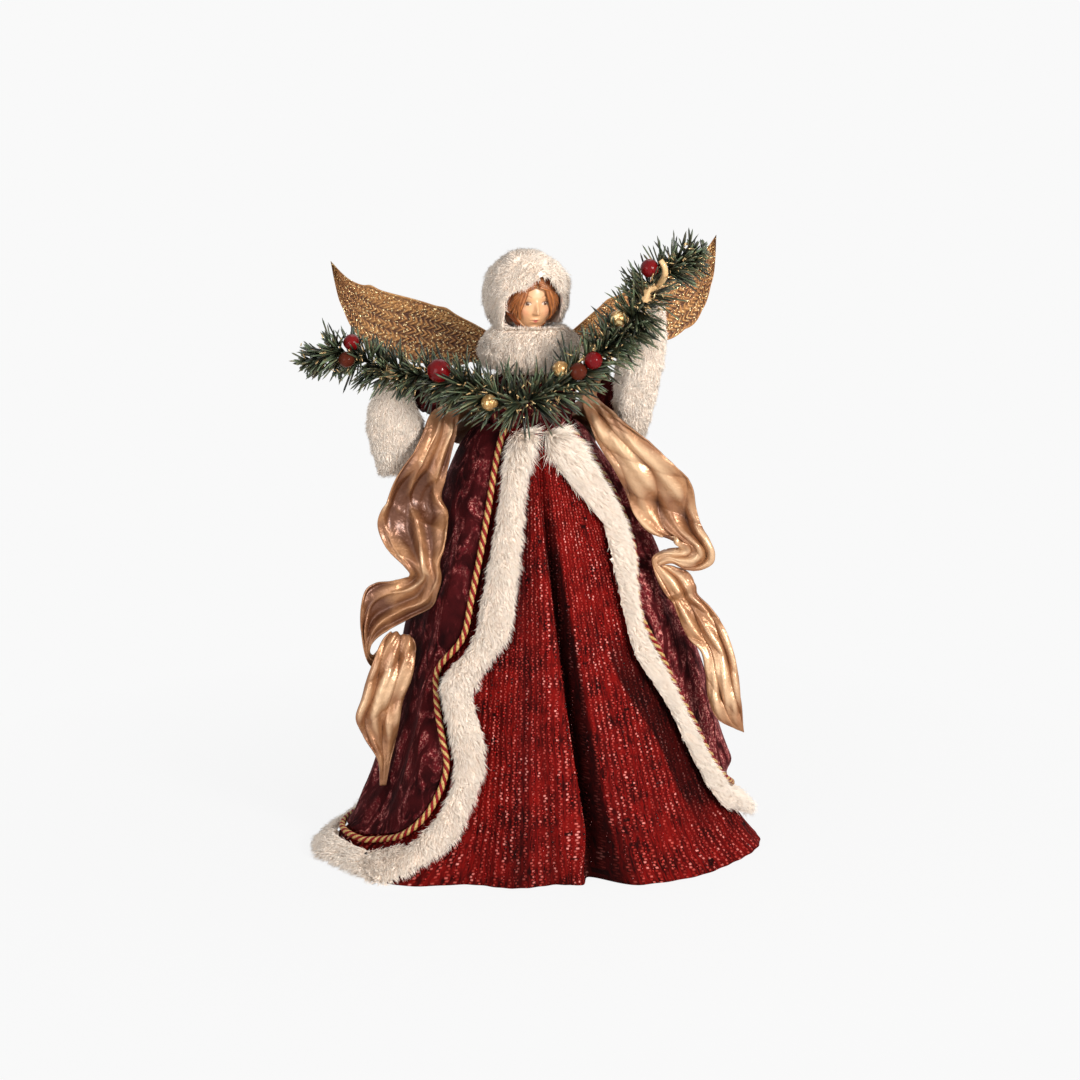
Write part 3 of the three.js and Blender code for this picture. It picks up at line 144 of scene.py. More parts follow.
def ripple(points: Array, pitch: float, seed: int) -> Array:
    """A smooth uneven field over points.

    Args:
        points: Places, in the last axis.
        pitch: Typical distance between two crests.
        seed: Seed of the waves' ways and phases.

    Returns:
        Values of about -1.5 to 1.5, one for each place.
    """
    rng = np.random.default_rng(seed)
    ways = unit(rng.normal(size=(WAVES, 3))) * rng.uniform(0.6, 1.7, (WAVES, 1))
    phases = rng.uniform(0.0, FULL_TURN, WAVES)
    return np.sin(points @ ways.T * (FULL_TURN / pitch) + phases).sum(-1) / math.sqrt(WAVES)


def through(rows: Sequence[tuple[float, float]]) -> Callable[[Array], Array]:
    """A smooth curve through pairs.

    Args:
        rows: Pairs of a value and the share at which it holds.

    Returns:
        A function that gives the value at a share.
    """
    knots = np.array(rows, float)
    last = len(knots) - 1
    t = np.linspace(0.0, last, len(knots) * 12 + 1)
    i = np.minimum(t.astype(int), last - 1)
    w = (t - i)[:, None]
    before, start = knots[np.maximum(i - 1, 0)], knots[i]
    end, after = knots[i + 1], knots[np.minimum(i + 2, last)]
    leave, arrive = (end - before) / 2.0, (after - start) / 2.0
    fine = (2 * start - 2 * end + leave + arrive) * w**3
    fine = fine + (-3 * start + 3 * end - 2 * leave - arrive) * w**2 + leave * w + start
    shares = np.maximum.accumulate(fine[:, 1])
    return lambda share: np.interp(share, shares, fine[:, 0])


def run_along(points: Array) -> Array:
    """Distance along a line of points, from its first one to each."""
    return np.concatenate([[0.0], np.cumsum(np.linalg.norm(np.diff(points, axis=0), axis=1))])


def even_path(knots: Array, count: int) -> Array:
    """Points at even steps along a smooth line through knots.

    Args:
        knots: Places that the line passes.
        count: Number of points wanted.

    Returns:
        The points, as rows.
    """
    gaps = np.sqrt(np.linalg.norm(np.diff(knots, axis=0), axis=1))
    times = np.concatenate([[0.0], np.cumsum(gaps)])
    columns = []
    for axis in range(knots.shape[1]):
        slopes = np.gradient(knots[:, axis], times)
        t = np.linspace(0.0, times[-1], 1200)
        i = np.clip(np.searchsorted(times, t, side="right") - 1, 0, len(times) - 2)
        h = times[i + 1] - times[i]
        w = (t - times[i]) / h
        value = (2 * w**3 - 3 * w**2 + 1) * knots[i, axis] + (w**3 - 2 * w**2 + w) * h * slopes[i]
        value = value + (-2 * w**3 + 3 * w**2) * knots[i + 1, axis] + (w**3 - w**2) * h * slopes[i + 1]
        columns.append(value)
    fine = np.stack(columns, 1)
    run = run_along(fine)
    wanted = np.linspace(0.0, run[-1], count)
    return np.stack([np.interp(wanted, run, fine[:, axis]) for axis in range(fine.shape[1])], 1)


def polar(angle: Array, radius: Array, z: Array) -> Array:
    """Points at an angle from the front, a radius from the axis and a height."""
    angle, radius, z = np.broadcast_arrays(angle, radius, z)
    return np.stack([radius * np.sin(angle), -radius * np.cos(angle), z], -1)


# Meshes


@dataclass
class Shape:
    """Points with quads and triangles, and values kept at the points.

    Attributes:
        points: Places in millimetres.
        quads: Corner numbers of four-sided faces.
        tris: Corner numbers of three-sided faces.
        tone: One value for each point, read by the finish, or None.
        uv: Two cloth coordinates for each point, or None.
        paint: A colour for each point, or None.
        slot: Number of the material.
    """

    points: Array
    quads: Array = field(default_factory=lambda: np.empty((0, 4), int))
    tris: Array = field(default_factory=lambda: np.empty((0, 3), int))
    tone: Array | None = None
    uv: Array | None = None
    paint: Array | None = None
    slot: int = 0


def grid_quads(rows: int, columns: int, wrap: bool = False) -> Array:
    """Quads of a grid of points, row after row.

    Args:
        rows: Number of rows.
        columns: Number of points in a row.
        wrap: True if the rows run right round.

    Returns:
        The corner numbers.
    """
    last = columns if wrap else columns - 1
    j, i = np.meshgrid(np.arange(rows - 1), np.arange(last), indexing="ij")
    right = (i + 1) % columns
    corners = [j * columns + i, j * columns + right, (j + 1) * columns + right, (j + 1) * columns + i]
    return np.stack(corners, -1).reshape(-1, 4)


def end_caps(rows: int, columns: int) -> Array:
    """Triangles that close a wrapped grid on two points that follow its own.

    Args:
        rows: Number of rows.
        columns: Number of points in a row.

    Returns:
        The corner numbers, of the first row's cap and then of the last's.
    """
    ring = np.arange(columns)
    after = (ring + 1) % columns
    total, far = rows * columns, (rows - 1) * columns
    first = np.stack([after, ring, np.full(columns, total)], 1)
    last = np.stack([far + ring, far + after, np.full(columns, total + 1)], 1)
    return np.concatenate([first, last])


def closed_cloth(outer: Array, inner: Array, wrap: bool = False, uv: Array | None = None) -> Shape:
    """A closed wall between two grids of points.

    Args:
        outer: Points of the outer face, rows by columns.
        inner: Points of the inner face.
        wrap: True if the columns run right round.
        uv: Cloth coordinates of each point of the grid.

    Returns:
        The wall with its rims.
    """
    rows, columns = outer.shape[:2]
    count = rows * columns
    face = grid_quads(rows, columns, wrap)
    numbers = np.arange(count).reshape(rows, columns)
    rims = [numbers[0], numbers[-1][::-1]]
    if not wrap:
        rims += [numbers[::-1, 0], numbers[:, -1]]
    quads = [face, face[:, ::-1] + count]
    for line in rims:
        a, b = line[:-1], line[1:]
        if wrap:
            a, b = line, np.roll(line, -1)
        quads.append(np.stack([b, a, a + count, b + count], 1))
    both = None if uv is None else np.concatenate([uv.reshape(-1, 2)] * 2)
    points = np.concatenate([outer.reshape(-1, 3), inner.reshape(-1, 3)])
    return Shape(points, np.concatenate(quads), uv=both)


def normals_of(points: Array) -> Array:
    """Unit normals of a grid of points, from its rows and columns."""
    return unit(np.cross(np.gradient(points, axis=1), np.gradient(points, axis=0)))


def tube(path: Array, radius: Array | float, sides: int = 6, squash: float = 1.0) -> Shape:
    """A closed round rod along a path.

    Args:
        path: Points of the middle line.
        radius: Radius, one for all points or one for each.
        sides: Number of sides.
        squash: Height of the section as a share of its width.

    Returns:
        The rod with an end cap of triangles at each end.
    """
    count = len(path)
    way = unit(np.gradient(path, axis=0))
    guide = np.where(np.abs(way[:1, 2:]) < 0.8, np.array([[0.0, 0.0, 1.0]]), np.array([[1.0, 0.0, 0.0]]))
    across = np.empty_like(path)
    last = unit(np.cross(way[:1], guide))[0]
    for k in range(count):
        last = unit(last - way[k] * (last @ way[k]))
        across[k] = last
    up = np.cross(way, across)
    turn = FULL_TURN * np.arange(sides) / sides
    size = np.broadcast_to(np.asarray(radius, float), (count,))[:, None, None]
    ring = np.cos(turn)[:, None] * across[:, None] + squash * np.sin(turn)[:, None] * up[:, None]
    points = np.concatenate([(path[:, None] + ring * size).reshape(-1, 3), path[[0, -1]]])
    return Shape(points, grid_quads(count, sides, True), end_caps(count, sides))


def strands(
    roots: Array, ways: Array, bends: Array, lengths: Array, widths: Array, tones: Array, seed: int,
    rise: float, shoulder: float = 0.5,
) -> Shape:
    """Many thin three-sided spikes, each bent once.

    Args:
        roots: Where each spike starts.
        ways: Unit way of each spike.
        bends: How each spike turns off its way, as a share of its length.
        lengths: Length of each.
        widths: Half width of each at its root.
        tones: Tone of each.
        seed: Seed of the turn of each about its own way.
        rise: How much the tone rises from root to tip.
        shoulder: Share of the length at which the taper to the tip starts.

    Returns:
        The spikes as closed solids.
    """
    sides, count = 3, len(roots)
    guide = np.where(np.abs(ways[:, 2:]) < 0.9, [[0.0, 0.0, 1.0]], [[1.0, 0.0, 0.0]])
    across = unit(np.cross(ways, guide))
    up = np.cross(ways, across)
    spin = np.random.default_rng(seed).uniform(0.0, FULL_TURN, (count, 1))
    turn = FULL_TURN * np.arange(sides) / sides + spin
    ring = np.cos(turn)[..., None] * across[:, None] + np.sin(turn)[..., None] * up[:, None]
    length, width = lengths[:, None], widths[:, None, None]
    middle = roots + ways * length * shoulder + bends * length * 0.5 * shoulder**1.7
    tip = roots + ways * length + bends * length * 0.5
    points = np.concatenate(
        [roots[:, None] + ring * width, middle[:, None] + ring * width * 0.8, tip[:, None]], 1
    )
    step = 2 * sides + 1
    base = (np.arange(count) * step)[:, None, None]
    i = np.arange(sides)
    quad = np.stack([i, (i + 1) % sides, sides + (i + 1) % sides, sides + i], 1)
    tri = np.stack([sides + i, sides + (i + 1) % sides, np.full(sides, 2 * sides)], 1)
    tri = np.concatenate([tri, [[2, 1, 0]]])
    tone = tones[:, None] + rise * np.array([-0.5] * sides + [0.0] * sides + [0.5])
    return Shape(
        points.reshape(-1, 3), (quad + base).reshape(-1, 4), (tri + base).reshape(-1, 3), tone=tone.ravel()
    )


def linked(name: str, data: bpy.types.ID) -> Object:
    """A new object of the scene.

    Args:
        name: Its name.
        data: The mesh, light or camera that it holds.

    Returns:
        The object.
    """
    made = bpy.data.objects.new(name, data)
    bpy.context.scene.collection.objects.link(made)
    return made


def piece(name: str, shapes: Sequence[Shape], materials: Sequence[bpy.types.Material]) -> Object:
    """One object of several shapes.

    Args:
        name: The piece's name.
        shapes: What it is made of.
        materials: Its materials, in the order of the shapes' slots.

    Returns:
        The linked object.
    """
    starts = np.cumsum([0] + [len(s.points) for s in shapes])
    corners, sizes, slots = [], [], []
    for shape, start in zip(shapes, starts):
        for faces in (shape.quads, shape.tris):
            corners.append((faces + start).ravel())
            sizes.append(np.full(len(faces), faces.shape[1]))
            slots.append(np.full(len(faces), shape.slot))
    loops, totals = np.concatenate(corners), np.concatenate(sizes)
    mesh = bpy.data.meshes.new(name)
    mesh.vertices.add(int(starts[-1]))
    places = np.concatenate([s.points for s in shapes]) * MM
    mesh.vertices.foreach_set("co", places.astype(np.float32).ravel())
    mesh.loops.add(len(loops))
    mesh.loops.foreach_set("vertex_index", loops.astype(np.int32))
    mesh.polygons.add(len(totals))
    mesh.polygons.foreach_set("loop_start", np.concatenate([[0], np.cumsum(totals)[:-1]]).astype(np.int32))
    mesh.polygons.foreach_set("material_index", np.concatenate(slots).astype(np.int32))
    mesh.polygons.foreach_set("use_smooth", np.ones(len(totals), bool))
    mesh.update(calc_edges=True)
    for key, kind, width, entry in (("tone", "FLOAT", 1, "value"), ("paint", "FLOAT_COLOR", 4, "color")):
        given = [getattr(s, key) for s in shapes]
        if any(values is not None for values in given):
            kept = [np.zeros((len(s.points), width)) if v is None else v for s, v in zip(shapes, given)]
            flat = np.concatenate([np.reshape(v, (-1, width)) for v in kept])
            stored = mesh.attributes.new(key, kind, "POINT")
            stored.data.foreach_set(entry, flat.astype(np.float32).ravel())
    if any(s.uv is not None for s in shapes):
        uv = np.concatenate([np.zeros((len(s.points), 2)) if s.uv is None else s.uv for s in shapes])
        mesh.uv_layers.new(name="cloth").data.foreach_set("uv", uv[loops].astype(np.float32).ravel())
    for material in materials:
        mesh.materials.append(material)
    return linked(name, mesh)


def outward(made: Object) -> Object:
    """Turns the faces of a closed piece outwards.

    Args:
        made: The piece.

    Returns:
        The same piece.
    """
    work = bmesh.new()
    work.from_mesh(made.data)
    bmesh.ops.recalc_face_normals(work, faces=work.faces)
    work.to_mesh(made.data)
    work.free()
    return made


@dataclass
class Skin:
    """An even mesh over a solid of the frame: places and unit normals in millimetres, and quads."""

    points: Array
    normals: Array
    quads: Array

    def refresh(self) -> None:
        """Works the normals out again after the points have moved."""
        corners = self.points[self.quads]
        face = np.cross(corners[:, 2] - corners[:, 0], corners[:, 3] - corners[:, 1])
        total = np.zeros_like(self.points)
        for k in range(4):
            np.add.at(total, self.quads[:, k], face)
        self.normals = unit(total)


def skin_over(node: str, voxel: float, softening: int) -> Skin:
    """A smooth even mesh over a solid of the frame.

    Args:
        node: The solid's name.
        voxel: Size of a face.
        softening: Number of smoothing steps.

    Returns:
        The mesh.
    """
    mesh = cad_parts[node].data.copy()
    work = bmesh.new()
    work.from_mesh(mesh)
    bmesh.ops.remove_doubles(work, verts=work.verts, dist=1e-6)
    work.to_mesh(mesh)
    work.free()
    copy = linked(node + "_copy", mesh)
    remesh = copy.modifiers.new("even", "REMESH")
    remesh.mode = "VOXEL"
    remesh.voxel_size = voxel * MM
    soften = copy.modifiers.new("soften", "SMOOTH")
    soften.iterations = softening
    soften.factor = 0.5
    graph = bpy.context.evaluated_depsgraph_get()
    made = bpy.data.meshes.new_from_object(copy.evaluated_get(graph))
    points = np.empty(len(made.vertices) * 3, np.float32)
    made.vertices.foreach_get("co", points)
    quads = np.array([tuple(p.vertices) for p in made.polygons if len(p.vertices) == 4], int)
    bpy.data.objects.remove(copy)
    bpy.data.meshes.remove(made)
    skin = Skin(points.reshape(-1, 3).astype(float) / MM, np.empty((0, 3)), quads)
    skin.refresh()
    return skin


def scatter(skin: Skin, count: int, rng: np.random.Generator) -> tuple[Array, Array]:
    """Random places on a skin, as many on each unit of area.

    Args:
        skin: The skin.
        count: Number of places.
        rng: Source of the draws.

    Returns:
        Places and unit normals.
    """
    corners = skin.points[skin.quads]
    area = np.linalg.norm(np.cross(corners[:, 2] - corners[:, 0], corners[:, 3] - corners[:, 1]), axis=1)
    face = rng.choice(len(area), count, p=area / area.sum())
    u, v = rng.uniform(size=(2, count, 1))
    weights = np.stack([(1 - u) * (1 - v), u * (1 - v), u * v, (1 - u) * v], 1)
    places = (corners[face] * weights).sum(1)
    return places, unit((skin.normals[skin.quads[face]] * weights).sum(1))


# Shader nodes


def srgb(code: str) -> Colour:
    """A colour as the shader takes it.

    Args:
        code: Its six hexadecimal digits.

    Returns:
        The linear colour, opaque.
    """
    parts = [int(code[i : i + 2], 16) / 255.0 for i in (0, 2, 4)]
    linear = [p / 12.92 if p <= 0.04045 else ((p + 0.055) / 1.055) ** 2.4 for p in parts]
    return (linear[0], linear[1], linear[2], 1.0)


def grey(level: float) -> Colour:
    """An opaque grey."""
    return (level, level, level, 1.0)


class Shading:
    """Adds shader nodes to one tree and links them."""

    def __init__(self, tree: Tree) -> None:
        """Takes the tree that the nodes go into."""
        self.tree = tree

    def feed(self, socket: Socket, value: Input) -> None:
        """Links a socket to another, or sets its value.

        Args:
            socket: The socket that takes the value.
            value: Another socket, a number, a vector, or the six digits of a colour.
        """
        if isinstance(value, Socket):
            self.tree.links.new(value, socket)
        else:
            socket.default_value = srgb(value) if isinstance(value, str) else value

    def add(self, kind: str, inputs: dict[str | int, Input] | None = None, **settings: str) -> Node:
        """Adds one node.

        Args:
            kind: The node's type.
            inputs: Values or sockets for its inputs, by name or number.
            **settings: Its own settings.

        Returns:
            The node.
        """
        node = self.tree.nodes.new(kind)
        for key, value in settings.items():
            setattr(node, key, value)
        for key, value in (inputs or {}).items():
            self.feed(node.inputs[key], value)
        return node

    def first(self, kind: str) -> Node:
        """The tree's first node of a kind."""
        return next(node for node in self.tree.nodes if node.type == kind)

    def wear(self, look: str, value: Input) -> None:
        """Feeds one input of the surface shader."""
        self.feed(self.first("BSDF_PRINCIPLED").inputs[look], value)

    def mix(self, share: Input, first: Input, second: Input) -> Socket:
        """A colour between two, by the share of the second."""
        return self.add("ShaderNodeMix", {0: share, 6: first, 7: second}, data_type="RGBA").outputs[2]

    def sum(self, operation: str, first: Input, second: Input = 0.0) -> Socket:
        """The result of one sum on values."""
        return self.add("ShaderNodeMath", {0: first, 1: second}, operation=operation).outputs[0]

    def plus(self, first: Input, second: Input) -> Socket:
        """Two values added up."""
        return self.sum("ADD", first, second)

    def times(self, first: Input, second: Input) -> Socket:
        """Two values multiplied."""
        return self.sum("MULTIPLY", first, second)

    def spread(
        self, value: Input, low: Input, high: Input, to_low: Input = 0.0, to_high: Input = 1.0
    ) -> Socket:
        """A value moved from one range to another and kept in it."""
        ends = {0: value, 1: low, 2: high, 3: to_low, 4: to_high}
        return self.add("ShaderNodeMapRange", ends).outputs[0]

    def bump(self, height: Input, strength: float, distance: float) -> Socket:
        """A normal from a height."""
        settings = {"Height": height, "Strength": strength, "Distance": distance}
        return self.add("ShaderNodeBump", settings).outputs["Normal"]

    def group(self, tree: Tree, **inputs: Input) -> Node:
        """Places a shared group with its own values.

        Args:
            tree: The group.
            **inputs: Values or sockets for its inputs.

        Returns:
            The node that holds it.
        """
        node = self.tree.nodes.new("ShaderNodeGroup")
        node.node_tree = tree
        for key, value in inputs.items():
            self.feed(node.inputs[key], value)
        return node

    def blotches(self, scale: float, low: float = 0.0, high: float = 1.0) -> Socket:
        """Soft blotches of the shared group."""
        return self.group(EFFECTS.mottle, Scale=scale, Low=low, High=high).outputs[0]

    def tone(self) -> Socket:
        """The tone that is kept at the points."""
        return self.add("ShaderNodeAttribute", attribute_name="tone").outputs["Fac"]

    def place(self) -> Socket:
        """The place on the object."""
        return self.add("ShaderNodeTexCoord").outputs["Object"]

    def cloth(self) -> Sequence[Socket]:
        """The cloth coordinates, across and along."""
        place = self.add("ShaderNodeUVMap", uv_map="cloth").outputs[0]
        return self.add("ShaderNodeSeparateXYZ", {0: place}).outputs


class SharedEffects:
    """Node groups that several finishes use, each built once."""

    def __init__(self) -> None:
        """Builds the groups."""
        self.mottle = self._mottle()
        self.sparkle = self._sparkle()
        self.weave = self._weave()
        self.hollows = self._hollows()

    @staticmethod
    def _start(name: str, inputs: dict[str, float], outputs: Sequence[str]) -> tuple[Shading, Node, Node]:
        """A new group with value sockets.

        Args:
            name: The group's name.
            inputs: Values that its inputs start with.
            outputs: Names of its outputs.

        Returns:
            The group's helper, and its input and output nodes.
        """
        tree = bpy.data.node_groups.new(name, "ShaderNodeTree")
        for key, value in inputs.items():
            socket = tree.interface.new_socket(key, in_out="INPUT", socket_type="NodeSocketFloat")
            socket.default_value = value
        for key in outputs:
            tree.interface.new_socket(key, in_out="OUTPUT", socket_type="NodeSocketFloat")
        shade = Shading(tree)
        return shade, shade.add("NodeGroupInput"), shade.add("NodeGroupOutput")

    def _mottle(self) -> Tree:
        """Soft blotches, from Low to High.

        Returns:
            The group.
        """
        start = {"Scale": 40.0, "Low": 0.0, "High": 1.0}
        shade, given, out = self._start("soft blotches", start, ["Value"])
        scale, low, high = (given.outputs[key] for key in start)
        noise = shade.add("ShaderNodeTexNoise", {"Vector": shade.place(), "Scale": scale, "Detail": 4.0})
        shade.feed(out.inputs["Value"], shade.spread(noise.outputs[0], 0.32, 0.68, low, high))
        return shade.tree

    def _sparkle(self) -> Tree:
        """Small flakes: a mask of the ones that catch light, and a height that tilts each.

        Returns:
            The group.
        """
        shade, given, out = self._start("flakes", {"Scale": 900.0, "Share": 0.2}, ["Mask", "Tilt"])
        sizes = {"Vector": shade.place(), "Scale": given.outputs["Scale"]}
        cells = shade.add("ShaderNodeTexVoronoi", sizes)
        tint = shade.add("ShaderNodeSeparateColor", {0: cells.outputs["Color"]})
        edge = shade.sum("SUBTRACT", 1.0, given.outputs["Share"])
        shade.feed(out.inputs["Mask"], shade.sum("GREATER_THAN", tint.outputs[0], edge))
        shade.feed(out.inputs["Tilt"], shade.times(cells.outputs["Distance"], tint.outputs[1]))
        return shade.tree

    def _weave(self) -> Tree:
        """Crossing threads over the cloth coordinates.

        Returns:
            The group.
        """
        start = {"Across": 500.0, "Along": 500.0}
        shade, given, out = self._start("crossing threads", start, ["Height"])
        parts = shade.cloth()
        waves = [shade.sum("SINE", shade.times(parts[k], given.outputs[k])) for k in (0, 1)]
        shade.feed(out.inputs["Height"], shade.times(*waves))
        return shade.tree

    def _hollows(self) -> Tree:
        """A mask that is 1 in hollows and 0 on ridges.

        Returns:
            The group.
        """
        shade, given, out = self._start("hollows", {"Spread": 0.06}, ["Mask"])
        point = shade.add("ShaderNodeNewGeometry").outputs["Pointiness"]
        low, high = (shade.sum(way, 0.5, given.outputs["Spread"]) for way in ("SUBTRACT", "ADD"))
        shade.feed(out.inputs["Mask"], shade.spread(point, low, high, 1.0, 0.0))
        return shade.tree


EFFECTS = SharedEffects()


@dataclass(frozen=True)
class Finish:
    """A finish of one kind of surface. Subclasses paint what changes over it."""

    name: str
    colour: str
    second: str
    roughness: float = 0.5
    metallic: float = 0.0
    sheen: float = 0.0
    sheen_roughness: float = 0.5
    sheen_tint: str = "ffffff"
    coat: float = 0.0
    coat_roughness: float = 0.1
    specular: float = 0.5

    def material(self) -> bpy.types.Material:
        """The finish as a material.

        Returns:
            The material, made once.
        """
        known = bpy.data.materials.get(self.name)
        if known:
            return known
        made = bpy.data.materials.new(self.name)
        made.use_nodes = True
        shade = Shading(made.node_tree)
        values = {
            "Roughness": self.roughness,
            "Metallic": self.metallic,
            "Sheen Weight": self.sheen,
            "Sheen Roughness": self.sheen_roughness,
            "Sheen Tint": self.sheen_tint,
            "Coat Weight": self.coat,
            "Coat Roughness": self.coat_roughness,
            "Specular IOR Level": self.specular,
        }
        for key, value in values.items():
            shade.wear(key, value)
        self.paint(shade)
        made.diffuse_color = srgb(self.colour)
        return made

    def paint(self, shade: Shading) -> None:
        """Paints soft blotches of the second colour, with a slight grain.

        Args:
            shade: The material's helper.
        """
        blot = shade.blotches(120.0, 0.0, 0.8)
        shade.wear("Base Color", shade.mix(blot, self.colour, self.second))
        shade.wear("Normal", shade.bump(shade.blotches(900.0), 0.15, 0.0003))


@dataclass(frozen=True)
class FurFinish(Finish):
    """Plush pile: pale tips over warmer roots."""

    def paint(self, shade: Shading) -> None:
        """Paints each strand by its tone, with broad warm blotches.

        Args:
            shade: The material's helper.
        """
        strand = shade.mix(shade.spread(shade.tone(), 0.0, 1.0), self.second, self.colour)
        blot = shade.blotches(55.0, 0.0, 0.16)
        shade.wear("Base Color", shade.mix(blot, strand, self.second))
        shade.wear("Normal", shade.bump(shade.blotches(700.0), 0.4, 0.0008))


@dataclass(frozen=True)
class VelvetFinish(Finish):
    """Crushed panne velvet: dark pile with pressed patches that shine, and painted sparkle on them."""

    pressed: str = "702025"
    lit: str = "d98c82"

    def paint(self, shade: Shading) -> None:
        """Paints the pressed patches with painted sparkle on them, and the nap's fine speckle.

        Args:
            shade: The material's helper.
        """
        flattened = {"Vector": shade.place(), "Scale": (1.0, 1.0, 0.45)}
        upright = shade.add("ShaderNodeMapping", flattened).outputs[0]
        noise = {"Vector": upright, "Scale": 95.0, "Detail": 5.0, "Distortion": 1.4}
        broad = shade.add("ShaderNodeTexNoise", noise).outputs[0]
        # the tone, painted higher on the side of the robe that faces the key lamp, widens the pressed
        # patches there
        patch = shade.spread(shade.plus(broad, shade.tone()), 0.48, 0.66)
        speck = shade.blotches(420.0, 0.25, 1.0)
        flakes = shade.group(EFFECTS.sparkle, Scale=1200.0, Share=0.36)
        pressed = shade.times(patch, speck)
        nap = shade.mix(shade.blotches(60.0), self.colour, self.second)
        # painted sparkle: pale flakes on the pressed patches
        lit = shade.mix(shade.times(flakes.outputs["Mask"], pressed), self.pressed, self.lit)
        shade.wear("Base Color", shade.mix(pressed, nap, lit))
        shade.wear("Roughness", shade.spread(pressed, 0.0, 1.0, 0.75, 0.36))
        height = shade.plus(shade.times(patch, -0.6), shade.times(speck, 0.5))
        shade.wear("Normal", shade.bump(height, 0.5, 0.0009))


@dataclass(frozen=True)
class SequinClothFinish(Finish):
    """Red cloth stitched in upright rows of thread."""

    rows: int = 144
    stitches: float = 170.0
    zigzag: float = 0.09
    ribs: float = 6.0
    thread: str = "7a1712"
    thread_lit: str = "bb4a41"
    cluster: str = "140303"
    glint: str = "dd8d84"
    # painted shade colour, mixed in by the tone
    shadow: str = "0d0202"

    def paint(self, shade: Shading) -> None:
        """Paints rows of zigzag stitches with painted glints in stretches, small dark clusters, and painted
        shade by the tone.

        Args:
            shade: The material's helper.
        """
        parts = shade.cloth()
        sway = shade.blotches(60.0, -0.0012, 0.0012)
        across = shade.times(shade.plus(parts[0], sway), float(self.rows))
        row = shade.sum("FLOOR", across)
        own = shade.add("ShaderNodeTexWhiteNoise", {"W": row}, noise_dimensions="1D").outputs["Value"]
        along = shade.plus(shade.times(parts[1], self.stitches), shade.times(own, 7.0))
        number = shade.sum("FLOOR", along)
        cell = {"Vector": shade.add("ShaderNodeCombineXYZ", {0: row, 1: number}).outputs[0]}
        dash = shade.add("ShaderNodeTexWhiteNoise", cell, noise_dimensions="2D").outputs["Value"]
        lean = shade.spread(shade.sum("PINGPONG", number, 1.0), 0.0, 1.0, -self.zigzag, self.zigzag)
        ridge = self._wave(shade, shade.plus(shade.sum("FRACT", across), lean))
        knot = self._wave(shade, shade.sum("FRACT", along))
        bead = shade.times(shade.spread(ridge, 0.82, 0.97), shade.spread(knot, 0.25, 0.85))
        slow = self._stretches(shade, row, parts[1], 15.0)
        rib = shade.sum("FLOOR", shade.times(across, self.ribs))
        streak = self._stretches(shade, rib, parts[1], 40.0)
        woven = shade.spread(shade.plus(streak, shade.blotches(55.0, -0.14, 0.14)), 0.3, 0.68)
        cloth = shade.mix(woven, self.second, self.colour)
        sewn = shade.mix(dash, self.thread, self.thread_lit)
        cloth = shade.mix(shade.times(bead, shade.spread(slow, 0.34, 0.52, 0.15, 1.0)), cloth, sewn)
        cluster = shade.spread(self._stretches(shade, row, parts[1], 34.0), 0.69, 0.72, 0.0, 0.9)
        cloth = shade.mix(cluster, cloth, self.cluster)
        # painted glints: pale specks on the stitches, in stretches of each row
        painted_glint_spots = shade.times(shade.spread(slow, 0.5, 0.62, 0.0, 0.9), shade.spread(dash, 0.5, 0.85))
        glint = shade.times(painted_glint_spots, bead)
        with_painted_glints = shade.mix(glint, cloth, self.glint)
        shade.wear("Base Color", shade.mix(shade.tone(), with_painted_glints, self.shadow))
        shade.wear("Roughness", shade.spread(glint, 0.0, 1.0, 0.8, 0.35))
        height = shade.plus(shade.times(bead, 0.8), woven)
        shade.wear("Normal", shade.bump(height, 0.6, 0.0007))

    @staticmethod
    def _wave(shade: Shading, share: Socket) -> Socket:
        """Half a wave: 0 at shares 0 and 1, and 1 between them."""
        return shade.sum("SINE", shade.times(share, math.pi))

    @staticmethod
    def _stretches(shade: Shading, row: Socket, down: Socket, scale: float) -> Socket:
        """A noise that runs down each row by itself.

        Args:
            shade: The tree's helper.
            row: Number of the row.
            down: Share of the way down the cloth.
            scale: How often the noise changes over the length.

        Returns:
            Values of about 0.3 to 0.7.
        """
        ends = {0: shade.times(row, 3.71), 1: shade.times(down, scale)}
        spot = shade.add("ShaderNodeCombineXYZ", ends).outputs[0]
        noise = {"Vector": spot, "Scale": 1.0, "Detail": 1.0}
        return shade.add("ShaderNodeTexNoise", noise).outputs[0]


@dataclass(frozen=True)
class LameFinish(Finish):
    """Gold lame satin: a metal sheen on a fine weave, with painted shade brown in the folds and a painted
    highlight pale on the ridges.
    """

    # painted shade of the folds
    deep: str = "57301a"
    # painted highlight of the ridges
    painted_light: str = "d8b48e"

    def paint(self, shade: Shading) -> None:
        """Paints shade into the folds and a highlight onto the ridges by tone, with patches of colour, the
        weave and soft wrinkles.

        Args:
            shade: The material's helper.
        """
        tone = shade.tone()
        blot = shade.blotches(60.0)
        plain = shade.mix(blot, self.colour, self.second)
        painted_fold_shade = shade.mix(shade.spread(tone, 0.12, 0.55), self.deep, plain)
        painted_ridge_light = shade.mix(shade.spread(tone, 0.68, 1.0, 0.0, 0.8), painted_fold_shade, self.painted_light)
        shade.wear("Base Color", painted_ridge_light)
        shade.wear("Roughness", shade.spread(blot, 0.0, 1.0, 0.3, 0.42))
        threads = shade.group(EFFECTS.weave, Across=2600.0, Along=2600.0).outputs[0]
        height = shade.plus(shade.times(threads, 0.1), shade.blotches(110.0, 0.0, 3.0))
        noise = {"Vector": shade.place(), "Scale": 30.0, "Detail": 1.0, "Distortion": 0.8}
        ridged = shade.add("ShaderNodeTexNoise", noise, noise_type="RIDGED_MULTIFRACTAL").outputs[0]
        height = shade.plus(height, shade.times(ridged, 5.0))
        shade.wear("Normal", shade.bump(height, 0.4, 0.0005))


